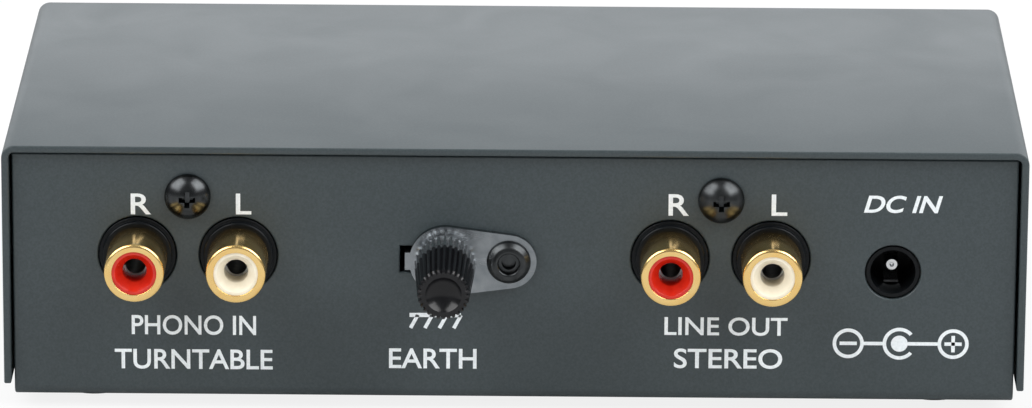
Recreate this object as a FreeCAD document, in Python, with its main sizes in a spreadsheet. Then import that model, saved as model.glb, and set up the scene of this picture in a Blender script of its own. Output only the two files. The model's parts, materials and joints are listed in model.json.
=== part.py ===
"""Small phono preamplifier in a folded steel case, seen from its connector side.

Millimetres, +Z up. The connector panel faces -Y, and the origin is under the middle of the
whole object, on the surface that its feet stand on. Panel hardware is drawn on a local axis
that points out of the panel, with its zero on the panel's outer face, and is then placed.
"""

import FreeCAD, Part
import math
import os
import Sketcher

Vector = FreeCAD.Vector
Rotation = FreeCAD.Rotation

doc = FreeCAD.newDocument("phono_preamp")
sheet = doc.addObject("Spreadsheet::Sheet", "Sizes")
nodes = []

# Driving dimensions and counts, written into the sheet below
SIZES = {
    # Case: an inverted U cover over a U chassis, both folded from one gauge of steel
    "case_width": 142.0,
    "case_depth": 76.0,
    "case_height": 36.5,
    "sheet_gauge": 1.0,
    "edge_round": 0.25,
    "cover_bend": 0.8,
    "cover_lift": 2.0,
    "cover_gap": 0.4,
    "top_gap": 0.3,
    "panel_recess": 1.0,
    "chassis_bend": 0.5,
    "flange_height": 13.0,
    "flange_length": 44.0,
    "flange_relief": 0.8,
    "cover_screw_height": 8.0,
    "cover_screw_spacing": 26.0,
    "cover_head_radius": 2.7,
    "cover_head_height": 1.5,
    "foot_radius": 5.0,
    "foot_height": 1.8,
    "foot_inset": 12.0,
    "foot_edge": 0.5,

    # Machine screws and the fits that they make
    "screw_radius": 1.45,
    "screw_hole_radius": 1.5,
    "screw_clearance": 0.15,
    "screw_head_edge": 0.5,
    "cross_width": 0.8,
    "cross_radius": 1.65,
    "cross_depth": 1.5,
    "cross_root": 0.7,
    "cover_screw_length": 5.0,
    "jack_head_radius": 3.2,
    "jack_head_height": 2.3,
    "jack_screw_length": 7.0,
    "board_head_radius": 2.75,
    "board_head_height": 1.8,
    "board_screw_length": 5.0,
    "seat_gap": 0.05,

    # Phono jacks: two blocks of two sockets
    "input_pair_x": -45.3,
    "output_pair_x": 28.55,
    "jack_pitch": 14.0,
    "jack_height": 20.75,
    "jack_reach": 9.3,
    "jack_depth": 11.0,
    "shell_radius": 4.15,
    "shell_bore": 3.2,
    "shell_lip": 0.6,
    "shell_step": 0.5,
    "shell_tail_width": 1.0,
    "shell_tail_gauge": 0.5,
    "insert_recess": 0.15,
    "insert_rim": 0.5,
    "insert_funnel_depth": 1.5,
    "insert_bore": 1.65,
    "insert_bore_depth": 4.5,
    "contact_radius": 2.05,
    "contact_bore": 1.4,
    "contact_wall": 0.35,
    "contact_pin_radius": 0.6,
    "contact_tail_gauge": 0.5,
    "collar_radius": 5.3,
    "collar_proud": 0.15,
    "nose_radius": 4.85,
    "nose_proud": 0.95,
    "nose_round": 0.3,
    "panel_hole_clearance": 0.15,
    "block_margin": 6.5,
    "block_rise": 5.6,
    "boss_half_width": 3.6,
    "boss_rise": 3.2,
    "jack_screw_rise": 8.45,

    # Ground terminal
    "stud_x": -9.6,
    "ground_height": 20.3,
    "plate_gauge": 1.0,
    "plate_stud_radius": 5.0,
    "plate_rivet_radius": 3.85,
    "rivet_spacing": 8.8,
    "tab_height": 2.5,
    "tab_side": 0.6,
    "tab_reach": 6.0,
    "slot_height": 3.8,
    "slot_side": 1.3,
    "slot_width": 2.0,
    "rivet_head_radius": 3.1,
    "rivet_head_height": 1.4,
    "rivet_mouth_radius": 1.5,
    "rivet_mouth_depth": 1.0,
    "rivet_shank_radius": 1.6,
    "rivet_bore_radius": 1.0,
    "rivet_bulb_radius": 2.2,
    "rivet_bulb_length": 2.6,
    "stud_radius": 1.95,
    "stud_fit": 0.06,
    "stud_past_nut": 3.0,
    "stud_in_knob": 10.0,
    "stud_tip_gap": 0.3,
    "stud_hole_clearance": 0.35,
    "nut_flats": 7.0,
    "nut_height": 3.2,
    "washer_radius": 3.6,
    "washer_gauge": 0.8,
    "knob_neck_radius": 3.0,
    "knob_neck": 0.6,
    "knob_length": 14.1,
    "skirt_length": 3.9,
    "knob_base_radius": 4.25,
    "knob_tip_radius": 3.6,
    "knob_chamfer": 0.35,
    "knob_dish_radius": 2.5,
    "knob_dish_depth": 1.1,
    "knurl_count": 30,
    "knurl_depth": 0.38,
    "knurl_width": 0.62,

    # Direct current socket
    "dc_x": 52.5,
    "dc_height": 18.9,
    "dc_hole_radius": 3.9,
    "dc_nose_radius": 3.65,
    "dc_nose_recess": 0.3,
    "dc_bore": 3.15,
    "dc_bore_depth": 9.5,
    "dc_width": 9.0,
    "dc_depth": 12.5,
    "dc_rise": 4.8,
    "dc_pin_radius": 1.0,
    "dc_pin_recess": 3.8,
    "dc_leaf_width": 2.0,
    "dc_leaf_gauge": 0.3,
    "dc_leaf_drop": 2.6,
    "dc_leaf_recess": 5.0,
    "dc_tail_gauge": 0.5,
    "dc_tail_width": 2.4,

    # Circuit board and what stands on it
    "board_width": 122.0,
    "board_depth": 60.0,
    "board_gauge": 1.6,
    "board_height": 12.9,
    "board_setback": 1.0,
    "board_corner": 1.5,
    "board_hole_inset": 4.0,
    "board_hole_rear": 19.0,
    "standoff_flats": 5.5,
    "standoff_spigot_radius": 2.0,
    "solder_hole_radius": 0.9,
    "solder_tail": 1.0,
    "chip_y": 33.0,
    "chip_length": 9.6,
    "chip_width": 6.4,
    "chip_height": 3.4,
    "chip_notch": 0.8,
    "chip_leg_pitch": 2.54,
    "chip_leg_width": 0.5,
    "chip_leg_gauge": 0.3,
    "chip_leg_rows": 4,
    "socket_margin": 0.6,
    "socket_height": 4.2,
    "regulator_x": 44.0,
    "regulator_y": 42.0,
    "regulator_width": 10.2,
    "regulator_gauge": 4.5,
    "regulator_height": 9.0,
    "regulator_tab_gauge": 1.3,
    "regulator_tab_height": 15.5,
    "regulator_stand": 3.5,
    "regulator_leg_pitch": 2.54,
    "regulator_leg_width": 0.7,
    "can_crimp": 0.35,
    "can_lead_radius": 0.3,
    "can_stand": 0.6,
    "film_length": 7.2,
    "film_width": 3.0,
    "film_height": 7.0,
    "film_round": 0.6,
    "film_stand": 0.8,
    "film_x": 12.0,
    "film_y": 26.0,
    "film_row": 12.0,
    "resistor_radius": 1.0,
    "resistor_cap": 0.2,
    "resistor_length": 6.3,
    "resistor_span": 10.16,
    "resistor_x": 26.0,
    "resistor_y": 24.0,
    "resistor_row": 7.0,
    "axial_lead_radius": 0.3,
    "axial_gap": 0.15,
    "diode_radius": 1.35,
    "diode_length": 5.2,
    "diode_span": 10.16,
    "diode_x": 44.0,
    "diode_y": 30.0,
    "led_x": 50.0,
    "led_radius": 1.5,
    "led_rim_radius": 1.9,
    "led_rim": 0.8,
    "led_length": 4.6,
    "led_proud": 0.8,
    "led_rise": 5.0,
    "led_fit": 0.1,
    "led_lead_spacing": 2.54,
    "led_lead_width": 0.5,
    "led_lead_run": 5.0,
    "wire_radius": 0.6,
    "wire_run": 3.0,
    "wire_bend": 3.0,

    # Cans: place across and along the board, radius and height
    "supply_capacitor_x": 30.0,
    "supply_capacitor_y": 45.0,
    "supply_capacitor_radius": 5.0,
    "supply_capacitor_height": 16.0,
    "positive_rail_capacitor_x": 18.0,
    "positive_rail_capacitor_y": 50.0,
    "positive_rail_capacitor_radius": 4.0,
    "positive_rail_capacitor_height": 11.5,
    "negative_rail_capacitor_x": -18.0,
    "negative_rail_capacitor_y": 50.0,
    "negative_rail_capacitor_radius": 4.0,
    "negative_rail_capacitor_height": 11.5,
    "right_output_capacitor_x": 12.0,
    "right_output_capacitor_y": 14.0,
    "right_output_capacitor_radius": 3.15,
    "right_output_capacitor_height": 11.0,
    "left_output_capacitor_x": 0.0,
    "left_output_capacitor_y": 17.0,
    "left_output_capacitor_radius": 3.15,
    "left_output_capacitor_height": 11.0,
}

for row, (name, number) in enumerate(SIZES.items(), 1):
    sheet.set(f"A{row}", str(number))
    sheet.setAlias(f"A{row}", name)
doc.recompute()

places = doc.addObject("App::VarSet", "Places")


def place(name, rule, meaning):
    """Name a position that follows from the driving dimensions."""
    places.addProperty("App::PropertyFloat", name, "Places", meaning)
    places.setExpression(name, rule)
    places.recompute()
    return f"Places.{name}"


def value(rule):
    """The number that an expression has now."""
    return float(places.evalExpression(str(rule)))


TERMINAL = place(
    "terminal_reach",
    "Sizes.plate_gauge + Sizes.washer_gauge + Sizes.knob_neck + Sizes.knob_length",
    "how far the knob stands out of the connector panel",
)
PROUD = place("proud", "Places.terminal_reach - Sizes.panel_recess", "knob past the cover")
MIDDLE_Y = place("case_middle_y", "Places.proud / 2", "middle of the case along Y")
PANEL_Y = place(
    "panel_y",
    "Places.case_middle_y - Sizes.case_depth / 2 + Sizes.panel_recess",
    "outer face of the connector panel",
)
INNER_Y = place("inner_y", "Places.panel_y + Sizes.sheet_gauge", "inner face of the connector panel")
FRONT_Y = place(
    "front_y",
    "Places.case_middle_y + Sizes.case_depth / 2 - Sizes.panel_recess",
    "outer face of the front panel",
)
FLOOR_Z = place("floor_z", "Sizes.foot_height", "underside of the chassis")
FLOOR_TOP = place("floor_top", "Places.floor_z + Sizes.sheet_gauge", "top of the chassis floor")
COVER_TOP = place("cover_top", "Places.floor_z + Sizes.case_height", "top of the cover")
CHASSIS_HALF = place(
    "chassis_half",
    "Sizes.case_width / 2 - Sizes.sheet_gauge - Sizes.cover_gap",
    "half the width of the chassis",
)
BOARD_Z = place("board_z", "Places.floor_z + Sizes.board_height", "top of the circuit board")
BOARD_Y = place("board_y", "Places.inner_y + Sizes.board_setback", "rear edge of the board")
JACK_Z = place("jack_z", "Places.floor_z + Sizes.jack_height", "axis of the phono jacks")
GROUND_Z = place("ground_z", "Places.floor_z + Sizes.ground_height", "axis of the ground stud")
DC_Z = place("dc_z", "Places.floor_z + Sizes.dc_height", "axis of the power socket")
LED_Z = place("led_z", "Places.board_z + Sizes.led_rise", "axis of the power light")
COVER_SCREW_Z = place(
    "cover_screw_z", "Places.floor_z + Sizes.cover_screw_height", "axis of the cover screws"
)

OUT_OF_REAR = Rotation(Vector(1, 0, 0), 90)
OUT_OF_FRONT = Rotation(Vector(1, 0, 0), -90)
OUT_OF_RIGHT = Rotation(Vector(0, 1, 0), 90)
OUT_OF_LEFT = Rotation(Vector(0, 1, 0), -90)
UPRIGHT = Rotation()


def put(thing, x="0", y="0", z="0", turn=UPRIGHT):
    """Place an object: three expressions for its origin and a fixed rotation."""
    thing.Placement = FreeCAD.Placement(Vector(value(x), value(y), value(z)), turn)
    for axis, rule in zip("xyz", (x, y, z)):
        thing.setExpression(f"Placement.Base.{axis}", str(rule))
    return thing


def node(thing, name):
    """Make an object one of the part's separate pieces."""
    thing.Label = name
    nodes.append(thing)
    return thing


def box(x, y, z, length, width, height):
    """A block from its lowest corner and its three sides."""
    block = doc.addObject("Part::Box", "block")
    for side, rule in (("Length", length), ("Width", width), ("Height", height)):
        block.setExpression(side, str(rule))
    return put(block, x, y, z)


def rod(radius, low, high, x="0", y="0"):
    """A round bar along the local Z axis between two heights."""
    bar = doc.addObject("Part::Cylinder", "bar")
    bar.setExpression("Radius", str(radius))
    bar.setExpression("Height", f"({high}) - ({low})")
    return put(bar, x, y, low)


def cone(low_radius, high_radius, low, high, x="0", y="0"):
    """A tapered bar along the local Z axis between two heights."""
    taper = doc.addObject("Part::Cone", "taper")
    taper.setExpression("Radius1", str(low_radius))
    taper.setExpression("Radius2", str(high_radius))
    taper.setExpression("Height", f"({high}) - ({low})")
    return put(taper, x, y, low)


def fuse(*pieces):
    joined = doc.addObject("Part::MultiFuse", "joined")
    joined.Shapes = list(pieces)
    return joined


def common(*pieces):
    shared = doc.addObject("Part::MultiCommon", "shared")
    shared.Shapes = list(pieces)
    return shared


def cut(base, *tools):
    result = doc.addObject("Part::Cut", "result")
    result.Base = base
    result.Tool = tools[0] if len(tools) == 1 else fuse(*tools)
    return result


def group(*pieces):
    """Separate solids that share one node, such as identical fasteners."""
    together = doc.addObject("Part::Compound", "together")
    together.Links = list(pieces)
    return together


def new_body(name):
    return node(doc.addObject("PartDesign::Body", name), name)


def origin_item(body, role):
    return next(item for item in body.Origin.OriginFeatures if item.Role == role)


def new_sketch(body, plane, offset):
    """An empty sketch on one of the body's own planes, offset along its normal."""
    sketch = body.newObject("Sketcher::SketchObject", "sketch")
    sketch.AttachmentSupport = [(origin_item(body, plane), "")]
    sketch.MapMode = "FlatFace"
    sketch.AttachmentOffset = FreeCAD.Placement(Vector(0, 0, value(offset)), Rotation())
    sketch.setExpression("AttachmentOffset.Base.z", str(offset))
    return sketch


def pin_point(sketch, geometry, end, x, y):
    """Bind one point of a sketch to two expressions, measured from the sketch's origin."""
    for kind, rule in (("DistanceX", x), ("DistanceY", y)):
        constraint = Sketcher.Constraint(kind, -1, 1, geometry, end, value(rule))
        index = sketch.addConstraint(constraint)
        sketch.setExpression(f"Constraints[{index}]", str(rule))


def arc_between(start, end, radius):
    """The short arc from start to end that bulges to the right of the way it is drawn."""
    a = Vector(*start, 0)
    b = Vector(*end, 0)
    half = (b - a) * 0.5
    across = Vector(-half.y, half.x, 0)
    across.normalize()
    centre = a + half + across * math.sqrt(radius**2 - half.Length**2)
    first = math.atan2(a.y - centre.y, a.x - centre.x)
    last = math.atan2(b.y - centre.y, b.x - centre.x)
    return Part.ArcOfCircle(Part.Circle(centre, Vector(0, 0, 1), radius), first, last)


def outline(sketch, corners):
    """A closed outline. A corner is (x, y), or (x, y, r) where an arc of radius r reaches it
    from the corner before, turning anticlockwise."""
    first = sketch.GeometryCount
    count = len(corners)
    for index, corner in enumerate(corners):
        following = corners[(index + 1) % count]
        start = (value(corner[0]), value(corner[1]))
        end = (value(following[0]), value(following[1]))
        if len(following) == 3:
            sketch.addGeometry(arc_between(start, end, value(following[2])), False)
        else:
            sketch.addGeometry(Part.LineSegment(Vector(*start, 0), Vector(*end, 0)), False)
    for index in range(count):
        following = first + (index + 1) % count
        sketch.addConstraint(Sketcher.Constraint("Coincident", first + index, 2, following, 1))
    for index, corner in enumerate(corners):
        pin_point(sketch, first + index, 1, corner[0], corner[1])
        if len(corner) == 3:
            arc = first + (index - 1) % count
            radius = Sketcher.Constraint("Radius", arc, value(corner[2]))
            sketch.setExpression(f"Constraints[{sketch.addConstraint(radius)}]", str(corner[2]))


def circles(sketch, holes):
    """Circles given as (x, y, radius)."""
    for x, y, radius in holes:
        round_hole = Part.Circle(Vector(value(x), value(y), 0), Vector(0, 0, 1), value(radius))
        index = sketch.addGeometry(round_hole, False)
        pin_point(sketch, index, 3, x, y)
        rule = sketch.addConstraint(Sketcher.Constraint("Radius", index, value(radius)))
        sketch.setExpression(f"Constraints[{rule}]", str(radius))


def pad(body, sketch, length, both_ways=False):
    feature = body.newObject("PartDesign::Pad", "pad")
    feature.Profile = sketch
    if both_ways:
        feature.SideType = "Symmetric"
    feature.setExpression("Length", str(length))
    body.Tip = feature
    return feature


def pocket(body, sketch, depth):
    """Cut against the sketch's normal, and make sure that something was cut."""
    doc.recompute()
    before = body.Shape.Volume
    feature = body.newObject("PartDesign::Pocket", "pocket")
    feature.Profile = sketch
    feature.setExpression("Length", str(depth))
    body.Tip = feature
    doc.recompute()
    if body.Shape.Volume >= before:
        raise ValueError(f"a pocket in {body.Label} cut nothing")
    return feature


def round_edges(body, radius, test):
    """Round the edges whose bounding box passes the test."""
    doc.recompute()
    base = body.Tip
    chosen = [
        f"Edge{index + 1}"
        for index, edge in enumerate(base.Shape.Edges)
        if test(edge.BoundBox)
    ]
    if not chosen:
        raise ValueError(f"no edge to round on {body.Label}")
    feature = body.newObject("PartDesign::Fillet", "rounding")
    feature.Base = (base, chosen)
    feature.setExpression("Radius", str(radius))
    body.Tip = feature
    doc.recompute()
    return feature


def turned(name, profile):
    """A body turned about its local Z axis from a profile of (radius, height) corners."""
    body = new_body(name)
    sketch = new_sketch(body, "XZ_Plane", "0")
    outline(sketch, profile)
    feature = body.newObject("PartDesign::Revolution", "turning")
    feature.Profile = sketch
    feature.ReferenceAxis = (origin_item(body, "Z_Axis"), [""])
    feature.Angle = 360
    body.Tip = feature
    return body


def near(a, b):
    return abs(a - b) < 1e-4


# Case


def make_chassis():
    """Floor, connector panel and front panel folded as one U, with a screw flange each side."""
    body = new_body("chassis")
    gauge = "Sizes.sheet_gauge"
    top = "Places.cover_top - Sizes.sheet_gauge - Sizes.top_gap"
    profile = new_sketch(body, "YZ_Plane", "0")
    outline(profile, [
        (PANEL_Y, FLOOR_Z),
        (FRONT_Y, FLOOR_Z),
        (FRONT_Y, top),
        (f"{FRONT_Y} - {gauge}", top),
        (f"{FRONT_Y} - {gauge}", FLOOR_TOP),
        (INNER_Y, FLOOR_TOP),
        (INNER_Y, top),
        (PANEL_Y, top),
    ])
    pad(body, profile, f"2 * {CHASSIS_HALF}", both_ways=True)
    inner = value("Sizes.chassis_bend")
    floor, floor_top = value(FLOOR_Z), value(FLOOR_TOP)
    rear, front = value(PANEL_Y), value(FRONT_Y)
    rear_inner, front_inner = value(INNER_Y), front - value(gauge)
    round_edges(body, f"Sizes.chassis_bend + {gauge}", lambda b: (
        b.XLength > inner and near(b.ZMin, floor) and near(b.ZMax, floor)
        and (near(b.YMin, rear) or near(b.YMax, front)) and near(b.YLength, 0)
    ))
    round_edges(body, "Sizes.chassis_bend", lambda b: (
        b.XLength > inner and near(b.ZMin, floor_top) and near(b.ZMax, floor_top)
        and (near(b.YMin, rear_inner) or near(b.YMax, front_inner)) and near(b.YLength, 0)
    ))

    strip = f"Sizes.chassis_bend + {gauge} + Sizes.flange_relief"
    inside = f"{CHASSIS_HALF} - ({strip})"
    beyond = f"{CHASSIS_HALF} + Sizes.cover_gap"
    reliefs = new_sketch(body, "XY_Plane", f"{FLOOR_TOP} + {gauge}")
    low = f"{MIDDLE_Y} - Sizes.flange_length / 2 - Sizes.flange_relief"
    high = f"{MIDDLE_Y} + Sizes.flange_length / 2 + Sizes.flange_relief"
    for sign in ("", "-"):
        near_x, far_x = f"{sign}({inside})", f"{sign}({beyond})"
        outline(reliefs, [(near_x, low), (far_x, low), (far_x, high), (near_x, high)])
    pocket(body, reliefs, f"3 * {gauge}")

    flanges = new_sketch(body, "XZ_Plane", f"-({MIDDLE_Y})")
    flange_top = f"{FLOOR_Z} + Sizes.flange_height"
    for sign in ("", "-"):
        outer = f"{sign}({CHASSIS_HALF})"
        wall = f"{sign}({CHASSIS_HALF} - {gauge})"
        root = f"{sign}({inside})"
        outline(flanges, [
            (root, FLOOR_Z), (outer, FLOOR_Z), (outer, flange_top),
            (wall, flange_top), (wall, FLOOR_TOP), (root, FLOOR_TOP),
        ])
    pad(body, flanges, "Sizes.flange_length", both_ways=True)
    long_enough = value("Sizes.flange_length") - inner
    half, half_inner = value(CHASSIS_HALF), value(f"{CHASSIS_HALF} - {gauge}")
    round_edges(body, f"Sizes.chassis_bend + {gauge}", lambda b: (
        b.YLength > long_enough and near(abs(b.XMin), half) and near(b.XLength, 0)
        and near(b.ZMin, floor) and near(b.ZMax, floor)
    ))
    round_edges(body, "Sizes.chassis_bend", lambda b: (
        b.YLength > long_enough and near(abs(b.XMin), half_inner) and near(b.XLength, 0)
        and near(b.ZMin, floor_top) and near(b.ZMax, floor_top)
    ))

    collar_hole = "Sizes.collar_radius + Sizes.panel_hole_clearance"
    screw_hole = "Sizes.screw_radius + Sizes.screw_clearance"
    rear_holes = [("Sizes.dc_x", DC_Z, "Sizes.dc_hole_radius")]
    for pair in ("Sizes.input_pair_x", "Sizes.output_pair_x"):
        for sign in ("-", "+"):
            rear_holes.append((f"{pair} {sign} Sizes.jack_pitch / 2", JACK_Z, collar_hole))
        rear_holes.append((pair, f"{JACK_Z} + Sizes.jack_screw_rise", screw_hole))
    stud_hole = "Sizes.stud_radius + Sizes.stud_hole_clearance"
    rear_holes.append(("Sizes.stud_x", GROUND_Z, stud_hole))
    rear_holes.append(("Sizes.stud_x + Sizes.rivet_spacing", GROUND_Z, RIVET_HOLE))
    openings = new_sketch(body, "XZ_Plane", f"-({PANEL_Y})")
    circles(openings, rear_holes)
    slot_left = f"Sizes.stud_x - Sizes.plate_stud_radius - Sizes.slot_side"
    slot_right = f"{slot_left} + Sizes.slot_width"
    slot_low = f"{GROUND_Z} - Sizes.slot_height / 2"
    slot_high = f"{GROUND_Z} + Sizes.slot_height / 2"
    outline(openings, [
        (slot_left, slot_low), (slot_right, slot_low),
        (slot_right, slot_high), (slot_left, slot_high),
    ])
    pocket(body, openings, f"2 * {gauge}")
    light_hole = new_sketch(body, "XZ_Plane", f"-({FRONT_Y} - 2 * {gauge})")
    circles(light_hole, [("Sizes.led_x", LED_Z, "Sizes.led_radius + Sizes.led_fit")])
    pocket(body, light_hole, f"3 * {gauge}")

    spigots = new_sketch(body, "XY_Plane", f"{FLOOR_TOP} + {gauge}")
    spigot_hole = "Sizes.standoff_spigot_radius + Sizes.seat_gap"
    circles(spigots, [(x, y, spigot_hole) for x, y in board_holes()])
    pocket(body, spigots, f"3 * {gauge}")
    taps = new_sketch(body, "YZ_Plane", "Sizes.case_width / 2")
    circles(taps, [(y, COVER_SCREW_Z, "Sizes.screw_hole_radius") for y in cover_screw_rows()])
    pocket(body, taps, "Sizes.case_width")
    round_edges(body, "Sizes.edge_round", lambda b: near(b.YMin, rear) and near(b.YMax, rear))


def board_holes():
    across = "Sizes.board_width / 2 - Sizes.board_hole_inset"
    rows = (
        f"{BOARD_Y} + Sizes.board_hole_rear",
        f"{BOARD_Y} + Sizes.board_depth - Sizes.board_hole_inset",
    )
    return [(f"{sign}({across})", row) for row in rows for sign in ("-", "")]


def cover_screw_rows():
    return [f"{MIDDLE_Y} {sign} Sizes.cover_screw_spacing / 2" for sign in ("-", "+")]


RIVET_HOLE = "Sizes.rivet_shank_radius + Sizes.seat_gap"


def make_cover():
    """Top and two sides folded from one sheet, open at the front, the rear and below."""
    body = new_body("cover")
    half = "Sizes.case_width / 2"
    inner = "Sizes.case_width / 2 - Sizes.sheet_gauge"
    bottom = f"{FLOOR_Z} + Sizes.cover_lift"
    under = f"{COVER_TOP} - Sizes.sheet_gauge"
    profile = new_sketch(body, "XZ_Plane", f"-({MIDDLE_Y})")
    outline(profile, [
        (f"-({half})", bottom), (f"-({inner})", bottom), (f"-({inner})", under),
        (inner, under), (inner, bottom), (half, bottom), (half, COVER_TOP),
        (f"-({half})", COVER_TOP),
    ])
    pad(body, profile, "Sizes.case_depth", both_ways=True)
    long_enough = value("Sizes.case_depth") / 2
    for level, edge_x, radius in (
        (COVER_TOP, half, "Sizes.cover_bend + Sizes.sheet_gauge"),
        (under, inner, "Sizes.cover_bend"),
    ):
        z, x = value(level), value(edge_x)
        round_edges(body, radius, lambda b: (
            b.YLength > long_enough and near(abs(b.XMin), x) and near(b.XLength, 0)
            and near(b.ZMin, z) and near(b.ZMax, z)
        ))
    holes = new_sketch(body, "YZ_Plane", half)
    hole = "Sizes.screw_radius + Sizes.screw_clearance"
    circles(holes, [(y, COVER_SCREW_Z, hole) for y in cover_screw_rows()])
    pocket(body, holes, "Sizes.case_width")
    ends = [value(f"{MIDDLE_Y} {sign} Sizes.case_depth / 2") for sign in ("-", "+")]
    foot = value(bottom)
    round_edges(body, "Sizes.edge_round", lambda b: (
        any(near(b.YMin, end) and near(b.YMax, end) for end in ends)
        or (near(b.ZMin, foot) and near(b.ZMax, foot))
    ))


def make_feet():
    """Four stick-on rubber discs under the floor, well in from its edges."""
    x = f"Sizes.case_width / 2 - Sizes.foot_inset"
    y = f"Sizes.case_depth / 2 - Sizes.foot_inset"
    for depth_name, depth_sign in (("rear", "-"), ("front", "+")):
        for side_name, side_sign in (("left", "-"), ("right", "")):
            foot = turned(f"foot_{depth_name}_{side_name}", [
                ("0", "0"),
                ("Sizes.foot_radius - Sizes.foot_edge", "0"),
                ("Sizes.foot_radius", "Sizes.foot_edge"),
                ("Sizes.foot_radius", "Sizes.foot_height"),
                ("0", "Sizes.foot_height"),
            ])
            put(foot, f"{side_sign}({x})", f"{MIDDLE_Y} {depth_sign} ({y})", "0")


def pan_screw(head_radius, head_height, length, x, y, z, turn):
    """A domed cross-head screw whose head sits on the local Z zero."""
    side = "Sizes.screw_head_edge"
    rise = f"({head_height} - {side})"
    dome_radius = f"({head_radius} * {head_radius} + {rise} * {rise}) / (2 * {rise})"
    dome = doc.addObject("Part::Sphere", "dome")
    dome.setExpression("Radius", dome_radius)
    put(dome, "0", "0", f"{head_height} - {dome_radius}")
    head = common(rod(head_radius, "0", head_height), dome)
    shank = rod("Sizes.screw_radius", f"-({length})", "0")
    floor = f"{head_height} - Sizes.cross_depth"
    arm = "Sizes.cross_radius"
    wide = "Sizes.cross_width"
    arms = fuse(
        box(f"-{arm}", f"-{wide} / 2", floor, f"2 * {arm}", wide, f"2 * Sizes.cross_depth"),
        box(f"-{wide} / 2", f"-{arm}", floor, wide, f"2 * {arm}", f"2 * Sizes.cross_depth"),
    )
    funnel = cone("Sizes.cross_root", arm, floor, head_height)
    above = rod(arm, head_height, f"{head_height} + Sizes.cross_depth")
    recess = common(arms, fuse(funnel, above))
    return put(cut(fuse(head, shank), recess), x, y, z, turn)


def make_screws():
    """The cover, jack and board screws, each kind one node of separate solids."""
    half = "Sizes.case_width / 2"
    cover = [
        pan_screw("Sizes.cover_head_radius", "Sizes.cover_head_height",
                  "Sizes.cover_screw_length", x, y, COVER_SCREW_Z, turn)
        for x, turn in ((half, OUT_OF_RIGHT), (f"-({half})", OUT_OF_LEFT))
        for y in cover_screw_rows()
    ]
    node(group(*cover), "cover_screws")
    jack = [
        pan_screw("Sizes.jack_head_radius", "Sizes.jack_head_height",
                  "Sizes.jack_screw_length", x, PANEL_Y,
                  f"{JACK_Z} + Sizes.jack_screw_rise", OUT_OF_REAR)
        for x in ("Sizes.input_pair_x", "Sizes.output_pair_x")
    ]
    node(group(*jack), "jack_screws")
    board = [
        pan_screw("Sizes.board_head_radius", "Sizes.board_head_height",
                  "Sizes.board_screw_length", x, y, BOARD_Z, UPRIGHT)
        for x, y in board_holes()
    ]
    node(group(*board), "board_screws")


def hexagon(flats, low, high):
    prism = doc.addObject("Part::Prism", "prism")
    prism.Polygon = 6
    prism.setExpression("Circumradius", f"({flats}) / 2 / cos(30)")
    prism.setExpression("Height", f"({high}) - ({low})")
    return put(prism, "0", "0", low)


def make_standoffs():
    """Hexagonal pillars pressed into the floor, tapped for the board screws."""
    pillars = []
    high = "Sizes.board_height - Sizes.board_gauge"
    for x, y in board_holes():
        pillar = fuse(
            hexagon("Sizes.standoff_flats", "Sizes.sheet_gauge", high),
            rod("Sizes.standoff_spigot_radius", "0", "Sizes.sheet_gauge"),
        )
        bore = rod("Sizes.screw_hole_radius", f"{high} - Sizes.board_screw_length - 1", high)
        pillars.append(put(cut(pillar, bore), x, y, FLOOR_Z))
    node(group(*pillars), "board_standoffs")


# Phono jacks


def make_jack_pair(name, pair_x):
    """One moulded block with two sockets: right channel first, as the panel is read."""
    half_pitch = "Sizes.jack_pitch / 2"
    behind = "-Sizes.sheet_gauge"
    back = "-Sizes.sheet_gauge - Sizes.jack_depth"
    board = f"{BOARD_Z} - ({JACK_Z})"
    wide = f"{half_pitch} + Sizes.block_margin"
    boss = "Sizes.boss_half_width"
    screw_y = "Sizes.jack_screw_rise"
    block = box(f"-({wide})", board, back, f"2 * ({wide})",
                f"Sizes.block_rise - ({board})", "Sizes.jack_depth")
    ear = box(f"-{boss}", "0", back, f"2 * {boss}", f"{screw_y} + Sizes.boss_rise",
              "Sizes.jack_depth")
    solids = [block, ear]
    bores = []
    for sign in ("-", "+"):
        x = f"0 {sign} {half_pitch}"
        solids.append(rod("Sizes.collar_radius", behind, "Sizes.collar_proud", x))
        chamfer = f"Sizes.nose_proud - Sizes.nose_round"
        solids.append(rod("Sizes.nose_radius", behind, chamfer, x))
        solids.append(cone("Sizes.nose_radius", "Sizes.nose_radius - Sizes.nose_round",
                           chamfer, "Sizes.nose_proud", x))
        bores.append(rod(f"{SHELL_NECK} + Sizes.seat_gap", f"{back} - 1",
                         "Sizes.nose_proud + 1", x))
    bores.append(rod("Sizes.screw_hole_radius", f"-({length_into_block()})", "1", "0", screw_y))
    housing = cut(fuse(*solids), *bores)
    put(housing, pair_x, PANEL_Y, JACK_Z, OUT_OF_REAR)
    node(housing, f"{name}_jack_housing")
    for channel, sign in (("right", "-"), ("left", "+")):
        make_jack(f"{name}_{channel}", f"{pair_x} {sign} {half_pitch}")


SHELL_NECK = "(Sizes.shell_radius - Sizes.shell_step)"


def length_into_block():
    return "Sizes.jack_screw_length + 1"


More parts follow.
